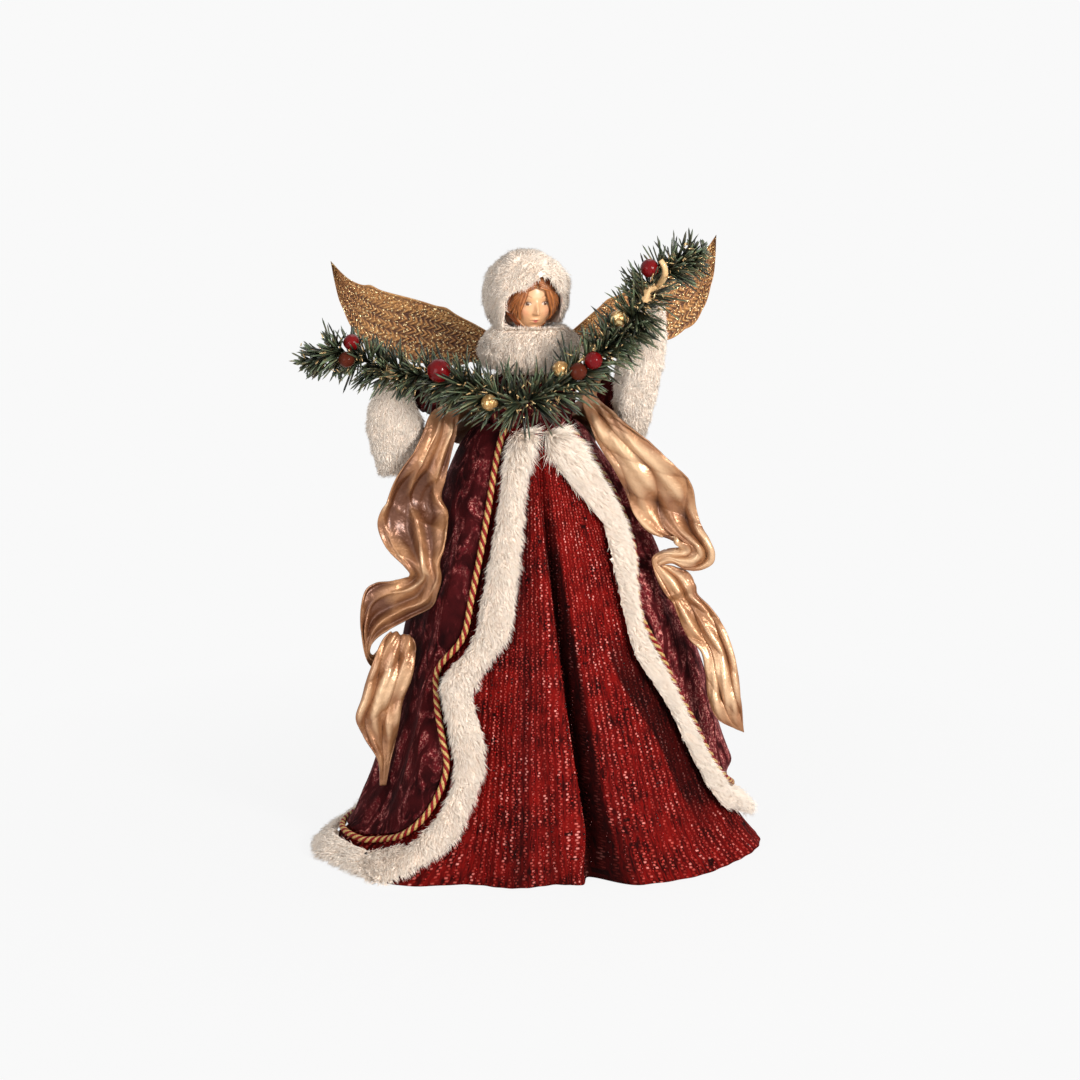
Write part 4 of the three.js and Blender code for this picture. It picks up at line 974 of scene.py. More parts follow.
@dataclass(frozen=True)
class TonedFinish(Finish):
    """A finish whose two colours are mixed by each point's tone, with a soft grain."""

    grain: float = 600.0
    relief: float = 0.2

    def paint(self, shade: Shading) -> None:
        """Mixes the two colours by tone and blotches.

        Args:
            shade: The material's helper.
        """
        tone = shade.tone()
        blot = shade.blotches(self.grain, -0.2, 0.2)
        share = shade.spread(shade.plus(tone, blot), 0.0, 1.0)
        shade.wear("Base Color", shade.mix(share, self.second, self.colour))
        shade.wear("Normal", shade.bump(blot, self.relief, 0.0006))


@dataclass(frozen=True)
class NeedleFinish(Finish):
    """Pine needles: dark roots, paler tips, some of them turned brown."""

    brown: str = "6e5636"

    def paint(self, shade: Shading) -> None:
        """Mixes the greens by tone and turns patches brown.

        Args:
            shade: The material's helper.
        """
        tone = shade.tone()
        green = shade.mix(shade.spread(tone, 0.0, 1.0), self.second, self.colour)
        turned = shade.spread(shade.blotches(210.0, -0.7, 0.9), 0.0, 0.8, 0.0, 0.75)
        share = shade.times(turned, shade.spread(tone, 0.1, 0.9, 0.3, 1.0))
        shade.wear("Base Color", shade.mix(share, green, self.brown))


@dataclass(frozen=True)
class GiltFinish(Finish):
    """Antique gold over moulded relief: dark wax in the hollows, flakes of glitter on top."""

    flakes: float = 1000.0
    share: float = 0.16
    carved: bool = False
    warm: str = "cf9c5c"
    glitter: str = "f3d9a0"

    def paint(self, shade: Shading) -> None:
        """Paints the gold, the wax in its hollows and the glitter.

        Args:
            shade: The material's helper.
        """
        if self.carved:
            hollow = shade.spread(shade.tone(), 0.08, 0.62, 1.0, 0.0)
        else:
            hollow = shade.group(EFFECTS.hollows, Spread=0.05).outputs[0]
        gold = shade.mix(shade.blotches(90.0, 0.0, 0.5), self.colour, self.warm)
        hollow_darkening = shade.mix(hollow, gold, self.second)
        flakes = shade.group(EFFECTS.sparkle, Scale=self.flakes, Share=self.share)
        mask = flakes.outputs["Mask"]
        shade.wear("Base Color", shade.mix(mask, hollow_darkening, self.glitter))
        shade.wear("Roughness", shade.spread(mask, 0.0, 1.0, self.roughness, 0.16))
        height = shade.plus(flakes.outputs["Tilt"], shade.blotches(500.0, 0.0, 0.4))
        shade.wear("Normal", shade.bump(height, 0.5, 0.0006))


@dataclass(frozen=True)
class PaintedFinish(Finish):
    """Hand-painted resin: the paint is kept at the points."""

    def paint(self, shade: Shading) -> None:
        """Takes the paint and breaks it with fine brush grain, and makes it darker in the hollows.

        Args:
            shade: The material's helper.
        """
        paint = shade.add("ShaderNodeAttribute", attribute_name="paint").outputs["Color"]
        grain = shade.blotches(260.0, 0.0, 0.12)
        brushed = shade.mix(grain, paint, self.second)
        hollow_darkening = shade.times(shade.group(EFFECTS.hollows, Spread=0.08).outputs[0], 0.18)
        shade.wear("Base Color", shade.mix(hollow_darkening, brushed, self.second))
        shade.wear("Normal", shade.bump(grain, 0.3, 0.0004))


FUR = FurFinish("ivory plush", "fff6ea", "fae1cb", 0.95, sheen=0.3, sheen_tint="fff0e2", specular=0.06)
VELVET = VelvetFinish(
    "burgundy velvet", "180506", "3e0f11", 0.7, sheen=0.07, sheen_roughness=0.35, sheen_tint="c4606a",
    specular=0.03,
)
SEQUIN_CLOTH = SequinClothFinish("red stitched cloth", "6c0c09", "220303", 0.6, specular=0.04)
SEQUIN = TonedFinish("red sequins", "a81510", "300504", 0.25, coat=0.25, grain=900.0, specular=0.3)
LAME = LameFinish("gold lame", "86583a", "a4764f", 0.34, 0.4, coat=0.2, coat_roughness=0.25)
CORD_RED = TonedFinish("red cord thread", "8c1419", "3a0709", 0.55, grain=1500.0, specular=0.15)
CORD_GOLD = TonedFinish("pale gold cord thread", "cda968", "6f5126", 0.45, grain=1500.0, specular=0.3)
NEEDLE = NeedleFinish("pine needles", "6a7a5c", "0e160e", 0.36, specular=0.45)
TINSEL = GiltFinish("gold tinsel", "c8a878", "8a6a42", 0.35, 0.45, flakes=1600.0, share=0.3)
TWIG = Finish("twisted green wire", "2b3d26", "4a3a22", 0.6)
BERRY_RED = Finish("red berries", "56060a", "720c0e", 0.14, specular=0.16)
BERRY_BROWN = Finish("brown berries", "3c160d", "562416", 0.16, specular=0.07)
BERRY_GOLD = GiltFinish("crackled gold berries", "b98f58", "6b4a24", 0.3, 0.5, flakes=700.0, share=0.22)
GILT = GiltFinish(
    "antique gold wings", "a06c3c", "4a2812", 0.4, 0.42, flakes=1400.0, share=0.06, carved=True
)
BRASS = GiltFinish("plain gold bracket", "a0764e", "4a2c16", 0.42, 0.45, flakes=1500.0, share=0.08)
SKIN = PaintedFinish("painted resin", "e2b48c", "a9683f", 0.42, coat=0.15, specular=0.4)
HAIR = TonedFinish(
    "painted hair", "b4713e", "552510", 0.36, coat=0.2, grain=300.0, relief=0.4, specular=0.3
)
CARD = Finish("grey card", "cfc6b4", "b3a78f", 0.9)
FOAM = Finish("pressed foam", "eeeae0", "dcd5c6", 0.85)
STEEL = Finish("steel wire", "8c8c88", "74726c", 0.35, 1.0)
DOWEL = Finish("wooden dowel", "c29a68", "a57c4b", 0.6)


def settle(made: Object, body: Body, replaced: Sequence[str] = ()) -> Object:
    """Sets a piece on its body and hides the solids of the frame that it stands for.

    Args:
        made: The piece.
        body: The body that it rides on.
        replaced: Solids of the frame that it stands for.

    Returns:
        The piece.
    """
    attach(made, body.value)
    if replaced:
        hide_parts(*replaced)
    LOG.info("%s: %d faces on %s", made.name, len(made.data.polygons), body.value)
    return made


# Cloth


@dataclass(frozen=True)
class Drape:
    """Sizes and formulas that the layers of hanging cloth share with the solids."""

    waist_height: float = 280.0
    waist_radius: float = 28.9
    hem_front: float = 106.0
    hem_left: float = 134.0
    hem_back: float = 120.0
    hem_right: float = 97.0
    train_right: float = 45.0
    train_left: float = 19.0
    train_arc: float = 44.0
    seam_height_right: float = 15.0
    seam_height_left: float = 34.0
    robe_cloth: float = 1.8
    robe_fold: float = 8.0
    pleat_top: float = 4.0
    pleat_drift: float = 20.0
    pleat_depth: float = 16.0
    pleat_arc: float = 7.0
    seam_right: tuple = (
        (-30, 0), (-29, 0.2), (-31, 0.39), (-33, 0.49), (-44, 0.57), (-42, 0.63), (-35, 0.73), (-32, 0.8),
        (-36, 0.9), (-45, 0.965), (-60, 1),
    )
    edge_right: tuple = (
        (9, 0), (0, 0.09), (-4, 0.25), (-9, 0.45), (-16, 0.5), (-25.5, 0.57), (-23.5, 0.62), (-18.5, 0.69),
        (-17.5, 0.76), (-21, 0.83), (-27, 0.93), (-40, 1),
    )
    seam_left: tuple = (
        (50, 0), (60, 0.05), (67, 0.115), (73, 0.21), (70, 0.31), (60, 0.41), (57, 0.49), (63, 0.59),
        (66.5, 0.69), (71, 0.78), (74, 0.87), (79, 0.95), (90, 1),
    )
    edge_left: tuple = (
        (13, 0), (15, 0.05), (38, 0.17), (48, 0.225), (48, 0.28), (46, 0.45), (47, 0.55), (56, 0.66),
        (60, 0.73), (66, 0.88), (70, 0.96), (80, 1),
    )

    def way_down(self, z: Array) -> Array:
        """Share of the way from the waist to the floor."""
        return np.clip(1.0 - z / self.waist_height, 0.0, 1.0)

    def hem(self, angle: Array) -> Array:
        """Radius of the hem.

        Args:
            angle: Angles round the figure.

        Returns:
            The radius at each.
        """
        front, left, back, right = self.hem_front, self.hem_left, self.hem_back, self.hem_right
        plan = [
            (0, front), (28, front * 1.08), (58, left), (92, left), (140, (left + back) / 2), (180, back),
            (225, (back + right) / 2), (270, right), (330, front), (360, front),
        ]
        degrees = np.degrees(angle) % 360.0
        radius = np.full_like(degrees, front)
        for (start, a), (end, b) in zip(plan, plan[1:]):
            inside = (degrees >= start) & (degrees <= end)
            radius = np.where(inside, lerp(a, b, smoothstep(degrees, start, end)), radius)
        return radius

    @staticmethod
    def turn_from(angle: Array, degrees: Array) -> Array:
        """Degrees from one angle to another, from -180 to 180."""
        return (np.degrees(angle) - degrees + 180.0) % 360.0 - 180.0

    def skirt(self, angle: Array, z: Array) -> Array:
        """Radius of the underskirt's outer face.

        Args:
            angle: Angles round the figure.
            z: Heights.

        Returns:
            The radius at each.
        """
        angle, z = np.broadcast_arrays(np.asarray(angle, float), np.asarray(z, float))
        t = self.way_down(z)
        fullness = lerp(0.8, 0.56, np.maximum(0.0, -np.sin(angle)) ** 2)
        bell = (self.hem(angle) - self.waist_radius) * t**fullness
        train = self.train_right * hump(self.turn_from(angle, -66.0), self.train_arc)
        train = (train + self.train_left * hump(self.turn_from(angle, 70.0), self.train_arc)) * t**12
        flutes = 4.5 * t**1.2 * np.cos(9.0 * angle + 0.9 * np.sin(2.0 * angle + 0.7))
        return self.waist_radius + bell + train + flutes - self.plain_pleat(angle, t)

    def off_pleat(self, angle: Array, t: Array) -> Array:
        """Degrees from the middle of the front pleat, a share t of the way down."""
        return self.turn_from(angle, self.pleat_top + self.pleat_drift * t**0.6)

    def plain_pleat(self, angle: Array, t: Array) -> Array:
        """Depth of the front pleat of the solids."""
        return self.pleat_depth * t**1.1 * hump(self.off_pleat(angle, t), self.pleat_arc)

    def gap(self, z: Array) -> Array:
        """Room between the underskirt and the layer over it."""
        return lerp(0.48, 3.9, self.way_down(z) ** 0.4)

    def fold(self, angle: Array, z: Array) -> Array:
        """How far the robe's broad folds stand out."""
        wave = 0.5 + 0.5 * np.cos(7.0 * angle + 1.3 * np.sin(angle - 0.4))
        return self.robe_fold * self.way_down(z) ** 0.8 * wave

    def hem_seam(self, share: Array) -> Array:
        """Height of the hem's seam, from the left front corner round the back to the right one."""
        return lerp(self.seam_height_left, self.seam_height_right, smoothstep(share, 0.0, 1.0))


@dataclass
class Underskirt:
    """The red underskirt with its sequins sewn in upright rows."""

    drape: Drape
    columns: int = 480
    rows: int = 96
    cloth: float = 1.2
    hem_lift: float = 0.5
    sequin_rows: int = 110
    sequin_step: float = 2.3
    sequin_radius: float = 0.8
    crowding: float = 0.09
    pleat: float = 22.0
    lap: float = 1.8
    curl: float = 4.5
    gathers: tuple = (
        (-6.0, 3.4, 4.8), (5.0, 2.6, 3.0), (33.0, 4.0, 4.4), (45.0, 3.0, 3.0), (58.0, 4.0, 3.4),
    )
    seed: int = 11

    def surface(self, angle: Array, z: Array) -> Array:
        """Radius of the outer face with its gathers.

        Args:
            angle: Angles round the figure.
            z: Heights.

        Returns:
            The radius at each.
        """
        t = self.drape.way_down(z)
        gathers = self.gathered(angle, t) * t**0.7 * (1.1 - t)
        off = self.drape.off_pleat(angle, t)
        filled = self.drape.plain_pleat(angle, t)
        sides = np.where(off < 0.0, hump(off, 2.2), hump(off, 3.8))
        pleat = self.pleat * t**0.75 * (1.0 - 0.15 * t**8) * sides
        ridges = t * (2.5 * hump(off + 10.0, 4.5) + 2.0 * hump(off - 8.5, 3.5))
        fine = 0.35 * t * np.cos(55.0 * angle + 2.0 * np.sin(5.0 * angle))
        return self.drape.skirt(angle, z) + filled - pleat + ridges - gathers + fine - 0.4

    def gathered(self, angle: Array, t: Array) -> Array:
        """Full depth of the gathers.

        Args:
            angle: Angles round the figure.
            t: Shares of the way down.

        Returns:
            The depth at each.
        """
        depths = 0.0
        for centre, arc, depth in self.gathers:
            drift = centre + 4.0 * np.sin(2.2 * t + centre)
            depths = depths + depth * hump(self.drape.turn_from(angle, drift), arc)
        return depths

    def overhang(self, angle: Array, z: Array) -> Array:
        """How far the cloth on the pleat's right laps over it, or curls back at the hem.

        Args:
            angle: Angles round the figure.
            z: Heights.

        Returns:
            Angles to add, in radians.
        """
        t = self.drape.way_down(z)
        off = self.drape.off_pleat(angle, t)
        lapped = self.lap * smoothstep(t, 0.05, 0.4) * hump(off + 5.0, 3.2)
        return np.radians(lapped - self.curl * smoothstep(t, 0.88, 1.0) * hump(off + 4.0, 5.0))

    def shaded(self, angle: Array, z: Array) -> Array:
        """Painted shade: how dark the cloth is in the pleat, beside the robe's edges and in the gathers,
        and towards the hem.

        Args:
            angle: Angles round the figure.
            z: Heights.

        Returns:
            Shares from 0 to 1.
        """
        drape = self.drape
        t = drape.way_down(z)
        off = drape.off_pleat(angle, t)
        # painted shade deep in the front pleat
        pleat = smoothstep(off, -3.2, -1.6) * fall(off, 5.2, 7.2) * smoothstep(t, 0.08, 0.3)
        # painted shade beside the robe's left edge, under its band of fur
        edge = drape.turn_from(angle, through(drape.edge_left)(t) - 4.5)
        under = smoothstep(edge, -3.4, -1.8) * smoothstep(t, 0.42, 0.56) * fall(t, 0.84, 0.96)
        under = 0.8 * under * fall(edge, 12.0, 20.0)
        # painted shade beside the robe's right edge, under its band of fur
        beside = drape.turn_from(angle, through(drape.edge_right)(t))
        right_band_shade = fall(beside, 2.5, 6.0) * smoothstep(t, 0.1, 0.22) * fall(t, 0.42, 0.6)
        # painted shade in the gathers, and the cloth made darker towards the hem
        painted_light = 0.1 * self.gathered(angle, t) * smoothstep(t, 0.1, 0.4) + 0.2 * smoothstep(t, 0.8, 1.0)
        # less of this painted shade right of the pleat, on the side that faces the key lamp
        painted_light = painted_light * (1.0 - 0.8 * smoothstep(off, 6.0, 12.0))
        return np.maximum.reduce([0.88 * pleat, under, 0.6 * right_band_shade, painted_light])

    def build(self) -> None:
        """Makes the cloth and its sequins."""
        share = np.linspace(0.0, 1.0, self.rows) ** 0.9
        step = np.arange(self.columns) / self.columns
        angle = np.pi + FULL_TURN * (step + self.crowding * np.sin(FULL_TURN * step))
        z, a = np.meshgrid(lerp(self.drape.waist_height, self.hem_lift, share), angle, indexing="ij")
        radius = self.surface(a, z)
        uv = np.stack([(a - np.pi) / FULL_TURN, self.drape.way_down(z)], -1)
        shaded = self.shaded(a, z).ravel()
        a = a + self.overhang(a, z)
        shape = closed_cloth(polar(a, radius, z), polar(a, radius - self.cloth, z), True, uv)
        # the painted shade is kept as the cloth's tone, which mixes in the shadow colour
        shape.tone = np.tile(shaded, 2)
        cloth = outward(piece("underskirt_cloth", [shape], [SEQUIN_CLOTH.material()]))
        settle(cloth, Body.FIGURE, ["underskirt"])
        sequins = settle(self._sequins(), Body.FIGURE)

    def _point(self, angle: Array, z: Array) -> Array:
        """Points of the outer face."""
        return polar(angle + self.overhang(angle, z), self.surface(angle, z), z)

    def _sequins(self) -> Object:
        """Small domed discs along the rows, where the robe leaves the cloth open.

        Returns:
            The piece.
        """
        rng = np.random.default_rng(self.seed)
        drape = self.drape
        right, left = through(drape.edge_right), through(drape.edge_left)
        places, ways, tones = [], [], []
        for row in range(self.sequin_rows):
            angle = FULL_TURN * (row + 0.5) / self.sequin_rows
            heights = np.arange(drape.waist_height - 4.0, 3.0, -self.sequin_step)
            heights = heights + rng.uniform(-0.5, 0.5, len(heights))
            share = drape.way_down(heights)
            degrees = drape.turn_from(np.full_like(heights, angle), 0.0)
            shown = (degrees > right(share) - 3.0) & (degrees < left(share) + 3.0)
            shown &= rng.uniform(size=len(heights)) < rng.uniform(0.25, 0.8)
            z = heights[shown]
            if not len(z):
                continue
            a = np.full_like(z, angle) + rng.normal(0.0, 0.0035, len(z))
            out = self._point(a, z)
            across = self._point(a + 0.01, z) - out
            down = self._point(a, z - 0.5) - out
            normal = unit(np.cross(down, across))
            places.append(out + normal * 0.25)
            ways.append(unit(normal + rng.normal(0.0, 0.3, normal.shape)))
            dark = np.convolve(rng.uniform(size=len(z)) < 0.03, np.ones(4))[: len(z)] > 0
            tone = np.where(dark, rng.uniform(0.0, 0.1, len(z)), rng.uniform(0.45, 1.0, len(z)))
            # painted shade: sequins in the shaded places are made darker
            tones.append(tone * (1.0 - 1.1 * self.shaded(a, z)))
        return piece("underskirt_sequins", [self._discs(places, ways, tones, rng)], [SEQUIN.material()])

    def _discs(self, places: list, ways: list, tones: list, rng: np.random.Generator) -> Shape:
        """Closed six-sided discs at the given places.

        Args:
            places: Middles of the discs, row by row.
            ways: The way that each faces.
            tones: Tone of each.
            rng: Source of the sizes.

        Returns:
            The discs.
        """
        middle, way, tone = np.concatenate(places), np.concatenate(ways), np.concatenate(tones)
        across = unit(np.cross(way, [[0.0, 0.0, 1.0]]))
        up = np.cross(way, across)
        sides = 6
        i = np.arange(sides)
        after = (i + 1) % sides
        turn = FULL_TURN * i / sides
        size = self.sequin_radius * rng.uniform(0.75, 1.1, (len(middle), 1, 1))
        ring = np.cos(turn)[:, None] * across[:, None] + np.sin(turn)[:, None] * up[:, None]
        rim = middle[:, None] + ring * size
        top = (middle + way * 0.3)[:, None]
        foot = (middle - way * 0.1)[:, None]
        points = np.concatenate([rim, top, foot], 1)
        upper = np.stack([i, after, np.full(sides, sides)], 1)
        lower = np.stack([after, i, np.full(sides, sides + 1)], 1)
        count = sides + 2
        tris = np.concatenate([upper, lower]) + (np.arange(len(middle)) * count)[:, None, None]
        return Shape(points.reshape(-1, 3), tris=tris.reshape(-1, 3), tone=np.repeat(tone, count))


@dataclass
class Robe:
    """The velvet robe, open in front, and the twisted cord over its seam."""

    drape: Drape
    columns: int = 400
    rows: int = 110
    cord_radius: float = 2.2
    cord_pitch: float = 13.0
    strand_radius: float = 1.15
    seam_room: float = 2.4
    swell: float = 7.0
    seed: int = 21

    def build(self, border: Sequence[Object]) -> None:
        """Makes the cloth and the cord.

        Args:
            border: The bands of fur sewn to the cloth; not used.
        """
        drape = self.drape
        u, v = np.linspace(0.0, 1.0, self.columns), np.linspace(0.0, 1.0, self.rows)
        share, across = np.meshgrid(v**0.95, u, indexing="ij")
        z = lerp(drape.waist_height, drape.hem_seam(across) + self.seam_room, share)
        left = np.radians(through(drape.seam_left)(share))
        right = np.radians(through(drape.seam_right)(share))
        left = left + self.seam_room / drape.skirt(left, z)
        right = right - self.seam_room / drape.skirt(right, z)
        angle = lerp(left, FULL_TURN + right, across)
        rim = smoothstep(np.minimum(across, 1.0 - across), 0.0, 0.045) * smoothstep(1.0 - share, 0.0, 0.07)
        way = drape.way_down(z)
        small = 1.5 * (0.5 + 0.5 * crease(11.0 * angle + 1.5 * np.sin(3.0 * angle + 4.0 * way))) * way**0.5
        swell = self.swell * smoothstep(way, 0.04, 0.2) * fall(way, 0.5, 0.85)
        swell = swell * hump(drape.turn_from(angle, 92.0), 34.0)
        inside = drape.skirt(angle, z) + drape.gap(z) + (drape.fold(angle, z) + small + swell) * rim
        inside = inside + 0.5 * ripple(polar(angle, inside, z * 0.5), 30.0, self.seed) * rim
        outer = polar(angle, inside + drape.robe_cloth, z)
        inner = polar(angle, inside + 0.3, z)
        uv = np.stack([across, share], -1)
        shape = closed_cloth(outer, inner, False, uv)
        # painted light: more pressed patches on the robe's left side, which faces the key lamp
        shape.tone = np.tile(0.11 * hump(drape.turn_from(angle, 82.0), 28.0).ravel(), 2)
        cloth = outward(piece("robe_cloth", [shape], [VELVET.material()]))
        settle(cloth, Body.FIGURE, ["robe"])
        cord = settle(self._cord(), Body.FIGURE, ["seam_cord"])

    def seam(self) -> Array:
        """The middle line of the cord.

        Returns:
            Points down the left front, round the hem and up the right front.
        """
        drape = self.drape
        down = np.linspace(0.0, 1.0, 60)[:-1]
        up = down[::-1]
        round_hem = np.linspace(0.0, 1.0, 150)
        left, right = through(drape.seam_left), through(drape.seam_right)
        back = lerp(left(1.0), 360.0 + right(1.0), round_hem)
        angles = np.radians(np.concatenate([left(down), back, 360.0 + right(up)]))
        heights = np.concatenate(
            [
                lerp(drape.waist_height, drape.seam_height_left, down),
                drape.hem_seam(round_hem),
                lerp(drape.waist_height, drape.seam_height_right, up),
            ]
        )
        radius = drape.skirt(angles, heights) + drape.gap(heights) + self.cord_radius + 0.3
        return polar(angles, radius, heights)

    def _cord(self) -> Object:
        """Four strands, red and gold in turn, twisted about the seam's line.

        Returns:
            The piece.
        """
        knots = self.seam()
        length = np.linalg.norm(np.diff(knots, axis=0), axis=1).sum()
        path = even_path(knots, int(length / 0.9))
        way = unit(np.gradient(path, axis=0))
        radial = unit(path * [1.0, 1.0, 0.0])
        across = unit(np.cross(way, radial))
        over = np.cross(across, way)
        twist = FULL_TURN * np.linspace(0.0, length / self.cord_pitch, len(path))
        offset = self.cord_radius - self.strand_radius
        shapes = []
        for number in range(4):
            turn = twist + number * np.pi / 2.0
            line = path + offset * (np.cos(turn)[:, None] * across + np.sin(turn)[:, None] * over)
            shape = tube(line, self.strand_radius, 6)
            shape.slot = number % 2
            shape.tone = 0.62 + 0.3 * np.sin(np.linspace(0.0, 9.0 * len(path), len(path) * 6 + 2))
            shapes.append(shape)
        return piece("seam_cord_rope", shapes, [CORD_RED.material(), CORD_GOLD.material()])


@dataclass
class Stole:
    """The gold stole: a tail that falls in folds down each side, and the middle behind the waist.

    Each tail is given by stations down its length: a point of its one edge and a point of its other.
    """

    columns: int = 420
    rows: int = 64
    cloth: float = 0.9
    # painted light: the tails' tone, set higher on the left tail, which faces the key lamp
    painted_lit_right: float = 0.5
    painted_lit_left: float = 0.66
    flat_right: tuple[float, float] = (0.045, 0.3)
    flat_left: tuple[float, float] = (0.042, 0.24)
    tail_right: tuple = (
        ((-54, -20.7, 301.7), (-42, -13.8, 304.9)), ((-54.2, -22.6, 296), (-40.4, -14.6, 299.3)),
        ((-64, -34, 290), (-45, -27, 290)), ((-69, -43, 276), (-47, -30, 278)),
        ((-82, -46, 254), (-51, -34, 259)), ((-95, -40, 231), (-57, -32, 236)),
        ((-98, -40, 220), (-53, -34, 227)), ((-94, -41, 207), (-53, -42, 215)),
        ((-87, -43, 199), (-55, -46, 205)), ((-80, -46, 193), (-58, -48, 196)),
        ((-77, -43, 188), (-57, -47, 186)), ((-81, -38, 184), (-59, -46, 176)),
        ((-89, -38, 182), (-63, -43, 166)), ((-99, -40, 181), (-78, -40, 157)),
        ((-106, -43, 176), (-92, -42, 150)), ((-109, -44, 165), (-100, -43, 144)),
        ((-109, -43, 149), (-104, -42, 137)), ((-105, -42, 128), (-102, -40, 133)),
        ((-96, -40, 121), (-99, -39, 136)), ((-85, -40, 126), (-96, -38, 141)),
        ((-78, -40, 138), (-92, -39, 146)), ((-76, -44, 146), (-90, -43, 150)),
        ((-74, -47, 141), (-95, -47, 145)), ((-76, -48, 123), (-104, -50, 124)),
        ((-83, -48, 103), (-109, -51, 107)), ((-85, -48, 91), (-113, -52, 94)),
        ((-87, -48, 79), (-108, -51, 81)), ((-91, -49, 63), (-99, -51, 65)),
        ((-94, -50, 48), (-98, -51, 48)),
    )
    tail_left: tuple = (
        ((32.5, -9.7, 307.2), (45, -14.8, 305.5)), ((31.8, -10.8, 302), (43.2, -15.4, 300)),
        ((35, -26, 293), (57, -42, 290)), ((43, -32, 272), (79, -49, 272)),
        ((54, -36, 256), (95, -49, 257)), ((61, -34, 240), (104, -45, 245)),
        ((67, -33, 226), (107, -41, 231)), ((76, -37, 215), (111, -42, 218)),
        ((85, -40, 211), (116, -44, 210)), ((93, -43, 210), (119, -44, 202)),
        ((97, -40, 207), (118, -43, 195)), ((96, -37, 204), (110, -42, 190)),
        ((90, -36, 203), (101, -41, 190)), ((84, -36, 201), (92, -39, 194)),
        ((79, -38, 197), (85, -38, 192)), ((80, -38, 190), (90, -37, 192)),
        ((84, -39, 180), (102, -38, 188)), ((89, -41, 172), (107, -41, 180)),
        ((92, -46, 170), (108, -45, 175)), ((95, -46, 163), (116, -47, 167)),
        ((102, -47, 147), (126, -51, 153)), ((111, -48, 138), (132, -53, 137)),
        ((114, -49, 124), (135, -55, 120)), ((116, -51, 106), (137, -55, 104)),
        ((122, -52, 93), (138, -55, 92)), ((134, -53, 87), (139, -54, 85)),
    )

    def build(self) -> None:
        """Makes the two tails and the middle."""
        for side in Side:
            self._tail(side)
        self._middle()

    def _tail(self, side: Side) -> None:
        """Makes one tail, from the arm down to its tip.

        Args:
            side: The figure's side.
        """
        stations = np.array(self.tail_left if side is Side.LEFT else self.tail_right, float)
        edges = even_path(stations.reshape(-1, 6), self.columns)
        near, far = edges[:, None, :3], edges[:, None, 3:]
        v = np.linspace(0.0, 1.0, self.rows)[None, :]
        base = lerp(near, far, v[..., None])
        run = run_along((near + far)[:, 0] / 2.0)[:, None]
        wide = np.linalg.norm((far - near)[:, 0], axis=1)[:, None]
        height = self._folds(run, v, wide, side) * smoothstep(run[-1] - run, 0.0, 25.0)
        height = height * smoothstep(run, 8.0, 40.0)
        points = base + normals_of(base) * height[..., None] * side.value
        half = normals_of(points) * self.cloth / 2
        uv = np.stack(np.broadcast_arrays(v * wide, run), -1) * MM
        shape = closed_cloth(points + half, points - half, False, uv)
        # painted shade and highlight: the tone follows how far the cloth stands out of its folds
        pale = self.painted_lit_left if side is Side.LEFT else self.painted_lit_right
        front = np.clip(pale - side.value * height.ravel() / 8.0, 0.0, 1.0)
        shape.tone = np.concatenate([1.0 - front, front])
        made = outward(piece(f"stole_tail_{side.word}", [shape], [LAME.material()]))
        settle(made, Body.FIGURE, [f"stole_{side.word}"])

    @staticmethod
    def _folds(run: Array, v: Array, wide: Array, side: Side) -> Array:
        """How far the cloth of a tail stands off its plain band.

        Args:
            run: Distance along the tail.
            v: Share across it.
            wide: Width of the band there.
            side: The figure's side.

        Returns:
            Distances along the normal.
        """
        drift = 0.3 * np.sin(run / 19.0 + side.value)
        upright = 2.0 * crease(np.pi * (2.3 * v + drift))
        upright = upright + 0.9 * np.sin(FULL_TURN * (3.4 * v - 1.3 * drift))
        slant = 1.2 * crease(run / 11.0 - 2.6 * v + side.value)
        puff = 3.2 * np.sin(np.pi * v) * np.sin(run / 16.0 + 0.6 * side.value)
        rim = 0.9 * hump(v, 0.05) + 0.9 * hump(1.0 - v, 0.05)
        calm = 1.0 - 0.45 * hump(run - 55.0, 45.0) if side is Side.LEFT else 1.0
        return (upright + slant + puff + rim) * np.minimum(1.0, wide / 34.0) * calm

    def _middle(self) -> None:
        """Makes the middle, over each arm and in a swag behind the waist."""
        skin = skin_over("stole_back", 1.0, 12)
        stretched = skin.points * [0.3, 0.3, 1.9]
        folds = crease(ripple(stretched, 30.0, 5) * 1.6)
        skin.points = skin.points + skin.normals * (0.3 + 0.5 * folds)[:, None]
        uv = skin.points[:, [0, 2]] * MM
        # painted shade and highlight: the tone follows the folds
        shape = Shape(skin.points, skin.quads, uv=uv, tone=0.56 + 0.1 * folds)
        made = piece("stole_middle", [shape], [LAME.material()])
        settle(made, Body.FIGURE, ["stole_back"])


@dataclass
class VelvetTop:
    """Bodice and stuffed sleeves."""

    voxel: float = 1.3
    softening: int = 8

    def build(self) -> None:
        """Makes the bodice and the sleeves."""
        for number, node in enumerate(("bodice", "sleeve_right", "sleeve_left")):
            skin = skin_over(node, self.voxel, self.softening)
            pulled = ripple(skin.points * [1.0, 1.0, 0.35], 16.0, 31 + number)
            skin.points = skin.points + skin.normals * (0.5 * crease(1.6 * pulled))[:, None]
            cloth = piece(f"{node}_velvet", [Shape(skin.points, skin.quads)], [VELVET.material()])
            settle(cloth, Body.FIGURE, [node])


# Fur


